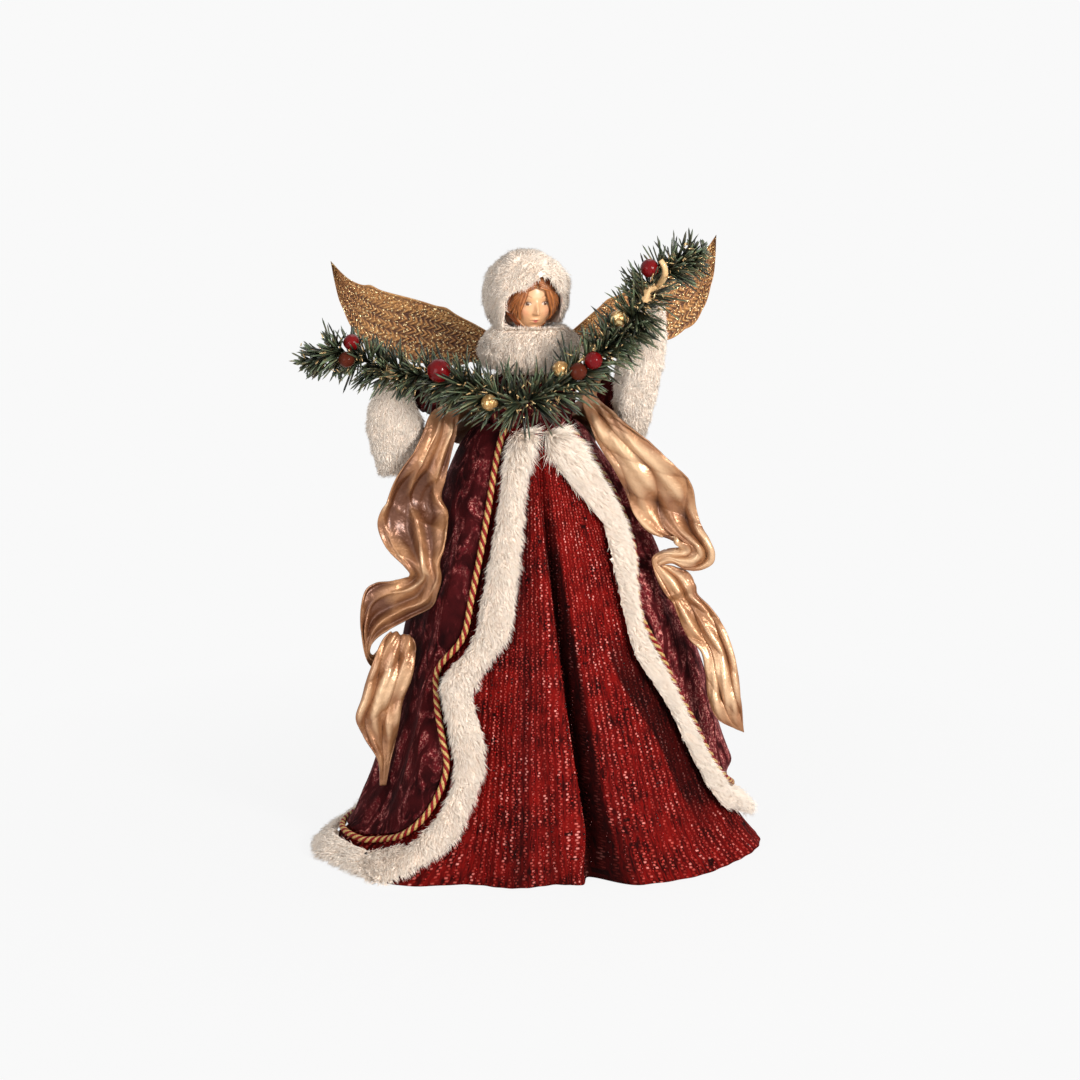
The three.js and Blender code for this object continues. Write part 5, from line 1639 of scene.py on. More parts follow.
@dataclass
class Fur:
    """A piece of plush over one solid of the frame.

    Attributes:
        node: The solid that it stands for.
        body: The body that it rides on.
        count: Number of strands.
        comb: The way that the pile is brushed.
        spread: How much the pile is also brushed away from the piece's axis.
        length: Length of a strand.
        stand: How steeply the strands stand, against 1 for lying along the comb.
        back: Least share of a normal that faces away from the axis; the rest is left bare.
        centre: Axis or middle that the pile faces away from.
        round_axis: True for an upright axis, False for a middle point.
        voxel: Face size of the body under the pile.
        sunk: How far that body lies under the solid's face.
        fluff: How much longer the strands are towards the waist, as a share.
        mould: What shapes the body before the pile is set, or None.
        seed: Seed of the strands.
    """

    node: str
    body: Body
    count: int
    comb: Place
    spread: float
    length: float = 6.0
    stand: float = 0.75
    back: float = -0.15
    centre: Place = (0.0, 0.0, 0.0)
    round_axis: bool = True
    voxel: float = 1.5
    sunk: float = 2.0
    fluff: float = 0.0
    mould: Callable[[Skin], None] | None = None
    seed: int = 1

    def away(self, places: Array) -> Array:
        """Ways from the axis or middle to places.

        Args:
            places: The places.

        Returns:
            Unit ways.
        """
        ways = places - np.array(self.centre)
        if self.round_axis:
            ways = ways * [1.0, 1.0, 0.0]
        return unit(ways)

    def _sink(self, skin: Skin) -> None:
        """Moves the body under the pile inwards, less where the solid is thin.

        Args:
            skin: The body.
        """
        tree = BVHTree.FromPolygons(skin.points.tolist(), skin.quads.tolist())
        depth = np.full(len(skin.points), 2.0 * self.sunk)
        for k, (place, normal) in enumerate(zip(skin.points, skin.normals)):
            hit = tree.ray_cast(Vector(place - normal * 0.05), Vector(-normal), 20.0)
            if hit[0] is not None:
                depth[k] = hit[3]
        inward = np.minimum(self.sunk, 0.3 * depth)
        skin.points = skin.points - skin.normals * inward[:, None]
        skin.refresh()

    def build(self) -> Object:
        """Makes the body under the pile and its strands.

        Returns:
            The piece.
        """
        rng = np.random.default_rng(self.seed)
        skin = skin_over(self.node, self.voxel, 5)
        if self.mould:
            self.mould(skin)
            skin.refresh()
        self._sink(skin)
        lump = ripple(skin.points, 9.0, self.seed + 50)
        skin.points = skin.points + skin.normals * (0.35 * lump)[:, None]
        # painted shade: the body under the pile is darker in the dips of its lumps
        body = Shape(skin.points, skin.quads, tone=np.clip(0.6 + 0.12 * lump, 0.0, 1.0))
        roots, normals = scatter(skin, int(self.count * 1.9), rng)
        away = self.away(roots)
        kept = np.flatnonzero((normals * away).sum(1) > self.back)[: self.count]
        roots, normals, away = roots[kept], normals[kept], away[kept]
        lay = np.array(self.comb) + self.spread * away
        lay = unit(lay - normals * (lay * normals).sum(1, keepdims=True))
        clump = np.stack([ripple(roots, 7.0, self.seed + k) for k in range(3)], 1)
        ways = unit(normals * self.stand + lay + 0.26 * clump + rng.normal(0.0, 0.2, roots.shape))
        into = (ways * normals).sum(1, keepdims=True)
        ways = unit(ways + normals * np.maximum(0.0, 0.18 - into))
        lengths = self.length * rng.uniform(0.7, 1.2, len(roots))
        lengths = lengths * (1.0 + 0.12 * ripple(roots, 12.0, self.seed + 9))
        lengths = lengths * (1.0 + self.fluff * hump(roots[:, 2] - 276.0, 16.0))
        bends = unit(lay + 0.3 * rng.normal(0.0, 1.0, roots.shape)) * 0.5 - np.array([0.0, 0.0, 0.2])
        widths = rng.uniform(0.13, 0.22, len(roots))
        tones = np.clip(rng.normal(0.82, 0.16, len(roots)), 0.2, 1.0)
        pile = strands(roots, ways, bends, lengths, widths, tones, self.seed, 0.35)
        for part in (pile, body):
            part.points[:, 2] = np.maximum(part.points[:, 2], FLOOR_CLEARANCE)
        made = piece(f"{self.node}_plush", [body, pile], [FUR.material()])
        return settle(made, self.body, [self.node])


@dataclass(frozen=True)
class HeadPose:
    """How the head is set on its neck: turned to the figure's left and nodding."""

    middle: float = CONE_TOP + 93.0
    yaw: float = 17.0
    nod: float = 6.0

    def _turn(self) -> Array:
        """The turn of the head.

        Returns:
            A matrix.
        """
        nod, yaw = math.radians(self.nod), math.radians(self.yaw)
        tip = np.array([[1, 0, 0], [0, math.cos(nod), -math.sin(nod)], [0, math.sin(nod), math.cos(nod)]])
        turn = np.array([[math.cos(yaw), -math.sin(yaw), 0], [math.sin(yaw), math.cos(yaw), 0], [0, 0, 1]])
        return turn @ tip

    def placed(self, points: Array) -> Array:
        """Points of the upright head where they are on the figure."""
        return points @ self._turn().T + [0.0, 0.0, self.middle]

    def upright(self, points: Array) -> Array:
        """Points on the figure as they are on the upright head."""
        return (points - [0.0, 0.0, self.middle]) @ self._turn()


HEAD_POSE = HeadPose()


def middle_of(node: str) -> Place:
    """Middle of a solid's box."""
    low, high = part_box(node)
    return tuple((low + high) / 2.0 / MM)


def raise_collar(skin: Skin) -> None:
    """Fluffs the collar's top up against the chin, more so at the front, and tucks its thin foot under.

    Args:
        skin: The collar's body.
    """
    low, high = (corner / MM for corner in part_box("fur_collar"))
    reach = np.hypot(skin.points[:, 0], skin.points[:, 1])
    foot = fall(reach, 22.0, 28.0) * fall(skin.points[:, 2], low[2] + 3.0, low[2] + 9.0)
    skin.points[:, 2] += 6.0 * foot
    top = smoothstep(skin.points[:, 2], (low[2] + high[2]) / 2.0, high[2])
    front = 0.5 - 0.5 * unit(skin.points * [1.0, 1.0, 0.0])[:, 1]
    skin.points[:, 2] += 3.2 * top * lerp(0.3, 1.0, front)
    skin.points[:, :2] *= (1.0 - 0.08 * top)[:, None]


def drop_cuff(skin: Skin) -> None:
    """Lets the left cuff's mouth hang a little lower."""
    low, high = (corner[2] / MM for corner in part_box("fur_cuff_left"))
    skin.points[:, 2] -= 7.0 * fall(skin.points[:, 2], low, (low + high) / 2.0)


def roll_hat(skin: Skin) -> None:
    """Rolls the hat's front up off the hair, in a broad lobe on the right and a small one on the left.

    Args:
        skin: The hat's body.
    """
    local = HEAD_POSE.upright(skin.points)
    x, y, z = local.T
    front = smoothstep(-y, 0.0, 9.0)
    lift = 9.5 * hump(x - 3.0, 11.0) * fall(z, 9.0, 31.0) * front
    lobe = 3.2 * np.exp(-((x - 15.0) ** 2 + (y + 14.0) ** 2 + (z - 14.0) ** 2) / 12.0**2)
    parting = 3.0 * hump(x - 5.0 - 0.25 * (z - 20.0), 3.5) * smoothstep(z, 8.0, 18.0) * front
    wider = 5.0 * front * fall(-x, 15.0, 31.0) * smoothstep(-x, 8.0, 14.0) * fall(z, 6.0, 22.0)
    local = local + np.stack([-wider, 0.0 * lift, lift], 1)
    swollen = lobe - parting * fall(z, 26.0, 34.0)
    skin.points = HEAD_POSE.placed(local) + skin.normals * swollen[:, None]


@dataclass
class FurTrim:
    """All the plush: the robe's border, the cuffs, the collar and the hat."""

    def border(self) -> list[Object]:
        """Makes the robe's border.

        Returns:
            Its three bands.
        """
        figure = Body.FIGURE
        bands = [
            Fur("fur_band_right", figure, 15500, (0.45, -0.1, -0.85), 0.1, length=4.4, fluff=1.2, seed=101),
            Fur("fur_band_left", figure, 15500, (0.9, -0.2, -0.55), 0.1, length=5.2, fluff=1.2, seed=102),
            Fur("fur_band_hem", figure, 16500, (0.0, 0.0, -0.9), 0.5, length=4.6, voxel=1.8, seed=103),
        ]
        return [band.build() for band in bands]

    def stuffed(self) -> None:
        """Makes the collar, the hat and the cuffs."""
        figure = Body.FIGURE
        pieces = [
            Fur(
                "fur_collar", figure, 16000, (0.0, -0.2, -0.3), 0.5, length=3.4, stand=0.9, back=-0.7,
                sunk=1.5, mould=raise_collar, seed=104,
            ),
            Fur(
                "fur_hat", Body.HEAD, 15000, (0.1, 0.25, -0.4), 0.0, length=3.6, stand=0.9, sunk=1.6,
                centre=middle_of("fur_hat"), round_axis=False, back=-0.3, mould=roll_hat, seed=105,
            ),
        ]
        for number, side in enumerate(Side):
            node = f"fur_cuff_{side.word}"
            mould = drop_cuff if side is Side.LEFT else None
            pieces.append(
                Fur(
                    node, figure, 13000, (0.0, 0.0, -1.0), 0.15, length=3.4, sunk=1.4,
                    centre=middle_of(node), mould=mould, seed=106 + number,
                )
            )
        for plush in [fur.build() for fur in pieces]:
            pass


# Garland


FINGER = np.array(
    [
        (76.0, -46.0, 367.0), (79.5, -47.0, 372.0), (82.5, -51.0, 377.0),
        (84.6, -57.0, 382.5), (84.0, -59.0, 387.5), (81.6, -58.5, 391.5),
    ]
)


@dataclass
class Garland:
    """Four sprigs of pine on a wire, with bits of gold and wired berries."""

    route: tuple = (
        (-142, -46, 58), (-116, -49, 64), (-90, -52, 53), (-62, -57, 50), (-37, -61, 43), (-11, -63, 34),
        (12, -62, 41), (35, -58, 57), (57, -54, 76), (70, -52, 94), (79, -50, 111), (96, -48, 122),
        (110, -46, 128),
    )
    berries: tuple = (
        ("red", 0.1, 62, 5.2), ("brown", 0.1, -18, 5.0), ("red", 0.3, 42, 7.4), ("gold", 0.42, -12, 5.2),
        ("brown", 0.62, 8, 5.6), ("red", 0.66, 4, 5.6), ("gold", 0.595, 70, 5.2), ("gold", 0.765, 64, 5.2),
        ("red", 0.885, 60, 5.8),
    )
    sprigs: int = 4
    needles: int = 500
    bits: int = 90
    knots: int = 18
    needle_length: float = 21.0
    end_length: float = 0.45
    bush: float = 0.22
    berry_stand: float = 9.0
    stem_radius: float = 1.3
    samples: int = 801
    seed: int = 61

    def __post_init__(self) -> None:
        """Works out the stem's line and its frame."""
        knots = np.array(self.route, float) + [0.0, 0.0, CONE_TOP]
        self.path = even_path(knots, self.samples)
        self.way = unit(np.gradient(self.path, axis=0))
        self.front = unit(np.array([0.0, -1.0, 0.0]) - self.way * -self.way[:, 1:2])
        self.side = np.cross(self.way, self.front)

    def at(self, share: Array) -> tuple[Array, Array, Array, Array]:
        """Point, way, front and side of the stem at shares of its length."""
        i = np.clip(np.round(np.asarray(share) * (self.samples - 1)).astype(int), 0, self.samples - 1)
        return self.path[i], self.way[i], self.front[i], self.side[i]

    def _berry_centre(self, row: tuple) -> tuple[Array, Array]:
        """Where a berry stands.

        Args:
            row: Colour, share along the stem, degrees from the front and radius.

        Returns:
            Its middle, and the way that it stands off the stem.
        """
        point, _, front, side = self.at(row[1])
        turn = math.radians(row[2])
        off = front * math.cos(turn) - side * math.sin(turn)
        return point + off * self.berry_stand, off

    def build(self) -> None:
        """Makes the sprigs and the berries."""
        rng = np.random.default_rng(self.seed)
        for number in range(self.sprigs):
            self._sprig(number, rng)
        counts: dict[str, int] = {}
        for row in self.berries:
            counts[row[0]] = counts.get(row[0], 0) + 1
            self._berry(row, counts[row[0]])

    def _sprig(self, number: int, rng: np.random.Generator) -> None:
        """Makes one sprig: its twisted stem, its needles and bits of gold.

        Args:
            number: Which sprig, from the figure's right.
            rng: Source of the draws.
        """
        knot = rng.integers(0, self.knots, self.needles)
        along = (knot + 0.5 + rng.normal(0.0, 0.25, self.needles)) / self.knots
        share = (number + np.clip(along, 0.0, 1.0)) / self.sprigs
        point, way, front, side = self.at(share)
        turn = (2.4 * knot + rng.normal(0.0, 0.8, self.needles))[:, None]
        off = np.cos(turn) * front + np.sin(turn) * side
        tuft = rng.normal(0.0, 1.0, self.knots)[knot][:, None]
        forward = (-1.0 if number < self.sprigs / 2 else 1.0) * (0.5 + 0.3 * tuft)
        ways = unit(off + forward * way + rng.normal(0.0, 0.3, off.shape))
        length = self.needle_length * rng.uniform(0.62, 1.12, self.needles)
        length = length * lerp(self.end_length, 1.0, smoothstep(np.minimum(share, 1.0 - share), 0.0, 0.07))
        bushy = hump(share - 0.52, 0.12) + hump(share - 0.8, 0.07) + 1.2 * hump(share - 0.39, 0.06)
        length = length * (1.0 + self.bush * bushy)
        middles = np.array([self._berry_centre(row)[0] for row in self.berries])
        sizes = np.array([row[3] for row in self.berries])
        clear = np.ones(self.needles, bool)
        for part in (0.35, 0.6, 0.85, 1.0):
            probe = point + ways * (length * part)[:, None]
            gaps = np.linalg.norm(probe[:, None] - middles[None], axis=2) - sizes
            clear &= gaps.min(1) > 0.4
            clear &= ~self._before_hand(probe)
        tones = np.clip(rng.normal(0.34, 0.34, self.needles), 0.0, 1.0)
        bends = rng.normal(0.0, 0.14, off.shape)
        widths = rng.uniform(0.6, 0.92, self.needles)
        kept = [a[clear] for a in (point, ways, bends, length, widths, tones)]
        needles = strands(*kept, self.seed + number, 0.5, shoulder=0.88)
        ends = np.linspace(number, number + 1, 90) / self.sprigs
        stem = tube(self.at(ends)[0], self.stem_radius * 0.8, 8)
        stem.slot = 1
        glints = self._glints(number, rng)
        materials = [NEEDLE.material(), TWIG.material(), TINSEL.material()]
        made = piece(f"pine_sprig_{number + 1}", [needles, stem, glints], materials)
        settle(made, Body.FIGURE, [f"garland_sprig_{number + 1}"])

    @staticmethod
    def _before_hand(places: Array) -> Array:
        """Finds places that would hide the left hand and its finger from the front.

        Args:
            places: Points of the needles.

        Returns:
            True for each such place.
        """
        knuckles = [[74.0, -57.0, 363.0], [75.5, -57.0, 368.0]]
        shown = np.concatenate([even_path(FINGER, 30)[16:], knuckles])
        apart = np.linalg.norm(places[:, None, [0, 2]] - shown[None][..., [0, 2]], axis=2)
        return (apart.min(1) < 3.2) & (places[:, 1] < -50.0)

    def _glints(self, number: int, rng: np.random.Generator) -> Shape:
        """Short bits of gold among the needles of one sprig.

        Args:
            number: Which sprig.
            rng: Source of the draws.

        Returns:
            The bits.
        """
        count = self.bits
        share = rng.uniform(number, number + 1, count) / self.sprigs
        point, _, front, side = self.at(share)
        turn = rng.uniform(-1.9, 1.9, count)[:, None]
        off = np.cos(turn) * front + np.sin(turn) * side
        roots = point + off * rng.uniform(3.0, 11.0, (count, 1))
        ways = unit(off + rng.normal(0.0, 0.7, off.shape))
        sizes = rng.uniform(2.5, 6.0, count)
        made = strands(
            roots, ways, rng.normal(0.0, 0.3, off.shape), sizes, rng.uniform(0.4, 0.85, count),
            np.ones(count), self.seed + 20 + number, 0.0,
        )
        made.slot = 2
        return made

    def _berry(self, row: tuple, count: int) -> None:
        """Makes one berry on its wire, with a small dimple at its end.

        Args:
            row: Colour, share along the stem, degrees from the front and radius.
            count: Number of the berry among those of its colour.
        """
        colour, share, _, radius = row
        middle, off = self._berry_centre(row)
        rows, columns = 30, 40
        spin = np.linspace(0.0, FULL_TURN, columns, False)
        tilt, turn = np.meshgrid(np.linspace(0.02, np.pi - 0.02, rows), spin, indexing="ij")
        across = unit(np.cross(off, [0.3, 0.2, 1.0]))
        up = np.cross(off, across)
        level = np.cos(turn)[..., None] * across + np.sin(turn)[..., None] * up
        ways = np.cos(tilt)[..., None] * off + np.sin(tilt)[..., None] * level
        size = radius * (1.0 - 0.05 * hump(tilt, 0.16) + 0.012 * ripple(ways * 10.0, 9.0, count))
        if colour == "gold":
            size = size * (1.0 + 0.025 * crease(2.0 * ripple(ways * 10.0, 7.0, 40 + count)))
        grid = (middle + ways * size[..., None]).reshape(-1, 3)
        poles = [grid[:columns].mean(0), grid[-columns:].mean(0)]
        fruit = Shape(np.concatenate([grid, poles]), grid_quads(rows, columns, True))
        fruit.tris = end_caps(rows, columns)
        start = self.at(share)[0] + off * self.stem_radius
        stalk = tube(np.linspace(start, middle - off * radius * 0.9, 6), 0.5, 6)
        stalk.slot = 1
        finish, slot = {
            "red": (BERRY_RED, Slot.BERRY_RED),
            "brown": (BERRY_BROWN, Slot.BERRY_BROWN),
            "gold": (BERRY_GOLD, Slot.BERRY_GOLD),
        }[colour]
        materials = [finish.material(), TWIG.material()]
        made = outward(piece(f"{colour}_berry_{count}", [fruit, stalk], materials))
        settle(made, Body.FIGURE, [f"berry_{colour}_{count}"])


# Head

FEATURES_LOWERED = 0.07
# Bumps of the face: height, share across, width, share up, and how tall
MIDDLE_BUMPS = (
    (1.1, 0.0, 0.2, -0.43, 0.04), (1.3, 0.0, 0.16, -0.51, 0.045), (-0.9, 0.0, 0.2, -0.465, 0.016),
    (-0.7, 0.0, 0.24, -0.62, 0.06), (1.7, 0.0, 0.2, -0.79, 0.13),
)
SIDE_BUMPS = (
    (1.1, 0.12, 0.07, -0.22, 0.055), (-1.8, 0.37, 0.2, 0.06, 0.13), (1.4, 0.37, 0.13, 0.045, 0.075),
    (0.5, 0.38, 0.24, 0.22, 0.07), (0.9, 0.5, 0.26, -0.22, 0.22),
)


class FacePaint(str, Enum):
    """Paints of the face, as six hexadecimal digits."""

    SKIN = "dcae82"
    NECK = "e0b089"
    LIPS = "b4554b"
    MOUTH = "7d3029"
    CHEEK = "d98b6d"
    WHITE = "dccbb5"
    IRIS = "4a2c18"
    PUPIL = "120a06"
    CATCHLIGHT = "f8f4ee"
    LASH = "2a160c"
    LID = "a86f48"
    BROW = "7a4826"
    HAIR = "8f4a20"


def laid_over(paint: Array, mask: Array, code: FacePaint) -> Array:
    """Paint with another laid over it by a mask."""
    return lerp(paint, np.array(srgb(code.value)), np.clip(mask, 0.0, 1.0)[..., None])


def ball(tilt: Array, turn: Array) -> tuple[Array, Array, Array]:
    """Points of a ball of radius 1, at angles from its top and round from the front."""
    return np.sin(tilt) * np.sin(turn), -np.sin(tilt) * np.cos(turn), np.cos(tilt)


@dataclass
class Head:
    """The painted head with its moulded hair and neck."""

    width: float = 16.0
    depth: float = 17.5
    tall: float = 22.0
    hair: float = 2.6
    neck_radius: float = 7.6
    neck_foot: float = CONE_TOP + 50.3
    neck_rings: int = 14
    columns: int = 300
    rows: int = 190
    locks: int = 14
    lock_rings: int = 44
    lock_sides: int = 10
    seed: int = 71

    @staticmethod
    def jaw(z: Array) -> Array:
        """Width of the head at shares up, against its widest."""
        return 1.0 - 0.3 * smoothstep(-z, 0.05, 1.0)

    @staticmethod
    def relief(x: Array, z: Array) -> Array:
        """How far the face stands out.

        Args:
            x: Shares across.
            z: Shares up.

        Returns:
            Distances in millimetres.
        """
        z = z + FEATURES_LOWERED
        nose = lerp(0.9, 3.9, smoothstep(-z, -0.12, 0.2)) * fall(-z, 0.23, 0.33)
        out = nose * smoothstep(-z, -0.2, -0.02) * hump(x, 0.1)
        for side, bumps in ((0.0, MIDDLE_BUMPS), (-1.0, SIDE_BUMPS), (1.0, SIDE_BUMPS)):
            for height, across, width, up, tall in bumps:
                out = out + height * hump(x - side * across, width) * hump(z - up, tall)
        return out

    @staticmethod
    def colours(x: Array, z: Array, front: Array, hair: Array) -> Array:
        """Paint of the face and hair.

        Args:
            x: Shares across.
            z: Shares up.
            front: 1 on the face and 0 behind it.
            hair: 1 on the hair.

        Returns:
            A colour for each point.
        """
        z = z + FEATURES_LOWERED
        paint = np.broadcast_to(np.array(srgb(FacePaint.SKIN.value)), x.shape + (4,))
        lip = hump(x, 0.17) * smoothstep(0.062 - np.abs(z + 0.468) - 0.25 * np.abs(x), 0.0, 0.02)
        paint = laid_over(paint, lip * front, FacePaint.LIPS)
        paint = laid_over(paint, hump(x, 0.19) * hump(z + 0.466, 0.01) * front, FacePaint.MOUTH)
        for side in (-1.0, 1.0):
            across = x - side * 0.37
            cheek = 0.5 * hump(across - side * 0.12, 0.2) * hump(z + 0.2, 0.16)
            open_eye = 0.056 * np.sqrt(np.maximum(0.0, 1.0 - (across / 0.165) ** 2))
            within = open_eye - np.abs(z - 0.05)
            seen = np.hypot(across * 0.73, z - 0.05)
            inside = smoothstep(within, 0.0, 0.01)
            # a painted highlight in each eye
            catchlight = np.hypot(across * 0.73 - 0.016, z - 0.076)
            lash = hump(z - 0.05 - open_eye, 0.014) * smoothstep(0.18 - np.abs(across), 0.0, 0.03)
            lid = hump(z - 0.085 - open_eye, 0.012) * smoothstep(0.17 - np.abs(across), 0.0, 0.05)
            brow = hump(z - 0.235 - 0.06 * hump(across - side * 0.02, 0.13), 0.022)
            layers = (
                (cheek, FacePaint.CHEEK),
                (smoothstep(within, 0.0, 0.014), FacePaint.WHITE),
                (inside * fall(seen, 0.05, 0.06), FacePaint.IRIS),
                (inside * fall(seen, 0.024, 0.03), FacePaint.PUPIL),
                (fall(catchlight, 0.008, 0.014), FacePaint.CATCHLIGHT),
                (lash, FacePaint.LASH),
                (0.5 * lid, FacePaint.LID),
                (0.6 * brow * smoothstep(0.2 - np.abs(across), 0.0, 0.07), FacePaint.BROW),
            )
            for mask, code in layers:
                paint = laid_over(paint, mask * front, code)
        return laid_over(paint, hair, FacePaint.HAIR)

    def build(self) -> None:
        """Makes the head and its locks of hair."""
        spin = np.linspace(-np.pi, np.pi, self.columns, endpoint=False)
        turn = spin - 0.45 * np.sin(spin)
        tilt, turn = np.meshgrid(np.linspace(0.03, np.pi - 0.03, self.rows), turn, indexing="ij")
        x, y, z = ball(tilt, turn)
        facing = smoothstep(-y, 0.1, 0.5)
        above = smoothstep(z + 0.6 * np.abs(x) ** 1.2, 0.47, 0.56)
        hair = np.maximum(fall(-y, 0.4, 0.52), above)
        wave = self.hair * hair * (0.74 + 0.26 * crease(7.0 * turn + 5.0 * z + 1.2 * np.sin(9.0 * z)))
        points = np.stack(
            [
                x * (self.width * self.jaw(z) + wave),
                y * (self.depth * lerp(1.0, 0.93, facing) + wave) - self.relief(x, z) * facing,
                z * (self.tall + wave * (z > 0)),
            ],
            -1,
        )
        ends = np.array([points[0].mean(0), points[-1].mean(0)])
        places = [HEAD_POSE.placed(part) for part in (points.reshape(-1, 3), ends)]
        paint = self.colours(x, z, smoothstep(-y, 0.3, 0.5), smoothstep(hair, 0.3, 0.6)).reshape(-1, 4)
        shape = Shape(
            np.concatenate(places), grid_quads(self.rows, self.columns, True),
            end_caps(self.rows, self.columns), paint=np.concatenate([paint, paint[[0, -1]]]),
        )
        heights = np.linspace(self.neck_foot, HEAD_POSE.middle - self.tall + 8.0, self.neck_rings)
        neck_line = np.stack([0.0 * heights, 0.0 * heights, heights], 1)
        flare = 1.0 + 0.12 * hump(np.linspace(0.0, 1.0, self.neck_rings), 0.3)
        neck = tube(neck_line, self.neck_radius * flare, 40)
        neck.paint = np.broadcast_to(np.array(srgb(FacePaint.NECK.value)), (len(neck.points), 4))
        made = outward(piece("painted_head", [shape, neck], [SKIN.material()]))
        settle(made, Body.HEAD, ["head"])
        self._locks()

    def _locks(self) -> None:
        """Makes wavy locks that frame the face, parted in the middle."""
        rng = np.random.default_rng(self.seed)
        shapes = []
        for side in Side:
            for number in range(self.locks):
                k = np.linspace(0.0, 1.0, self.lock_rings)
                start = 36.0 + 2.1 * number
                reach = 38.0 + 3.2 * number
                sway = 3.0 * np.sin(9.0 * k + number * 1.7) * k
                turn = np.radians(side.value * (3.0 + reach * k**0.75 + sway))
                low = 120.0 - 1.2 * number
                tilt = np.radians(start + (low - start) * k**1.25 + 1.5 * np.sin(11.0 * k + number))
                lift = 1.0 + 0.02 * np.sin(8.0 * k + number)
                x, y, z = ball(tilt, turn)
                room = self.hair * 0.75
                line = np.stack(
                    [
                        x * (self.width * self.jaw(z) + room) * lift,
                        y * (self.depth * 0.95 + room) * lift,
                        z * (self.tall + room),
                    ],
                    -1,
                )
                size = rng.uniform(1.35, 1.8) * np.sin(np.pi * np.clip(k * 0.9 + 0.08, 0, 1)) ** 0.5
                lock = tube(HEAD_POSE.placed(line), size, self.lock_sides, 0.8)
                round_it = FULL_TURN * np.arange(self.lock_sides) / self.lock_sides
                ridge = 0.55 + 0.35 * np.cos(round_it * 3.0)
                lock.tone = np.concatenate([np.tile(ridge, self.lock_rings), [0.5, 0.5]])
                shapes.append(lock)
        settle(piece("hair_locks", shapes, [HAIR.material()]), Body.HEAD)


@dataclass
class Hands:
    """The two moulded hands round the garland's stem, the left one with a finger along it."""

    voxel: float = 0.55
    softening: int = 9
    paint: str = "cdab7a"

    def build(self) -> None:
        """Makes both hands."""
        for side in Side:
            skin = skin_over(f"hand_{side.word}", self.voxel, self.softening)
            shapes = [Shape(skin.points, skin.quads)]
            if side is Side.LEFT:
                line = even_path(FINGER, 30)
                shapes.append(tube(line, lerp(2.5, 1.7, np.linspace(0.0, 1.0, 30)), 14))
            for part in shapes:
                part.paint = np.broadcast_to(np.array(srgb(self.paint)), (len(part.points), 4))
            hand = piece(f"moulded_hand_{side.word}", shapes, [SKIN.material()])
            settle(hand, Body.FIGURE, [f"hand_{side.word}"])


# Wings


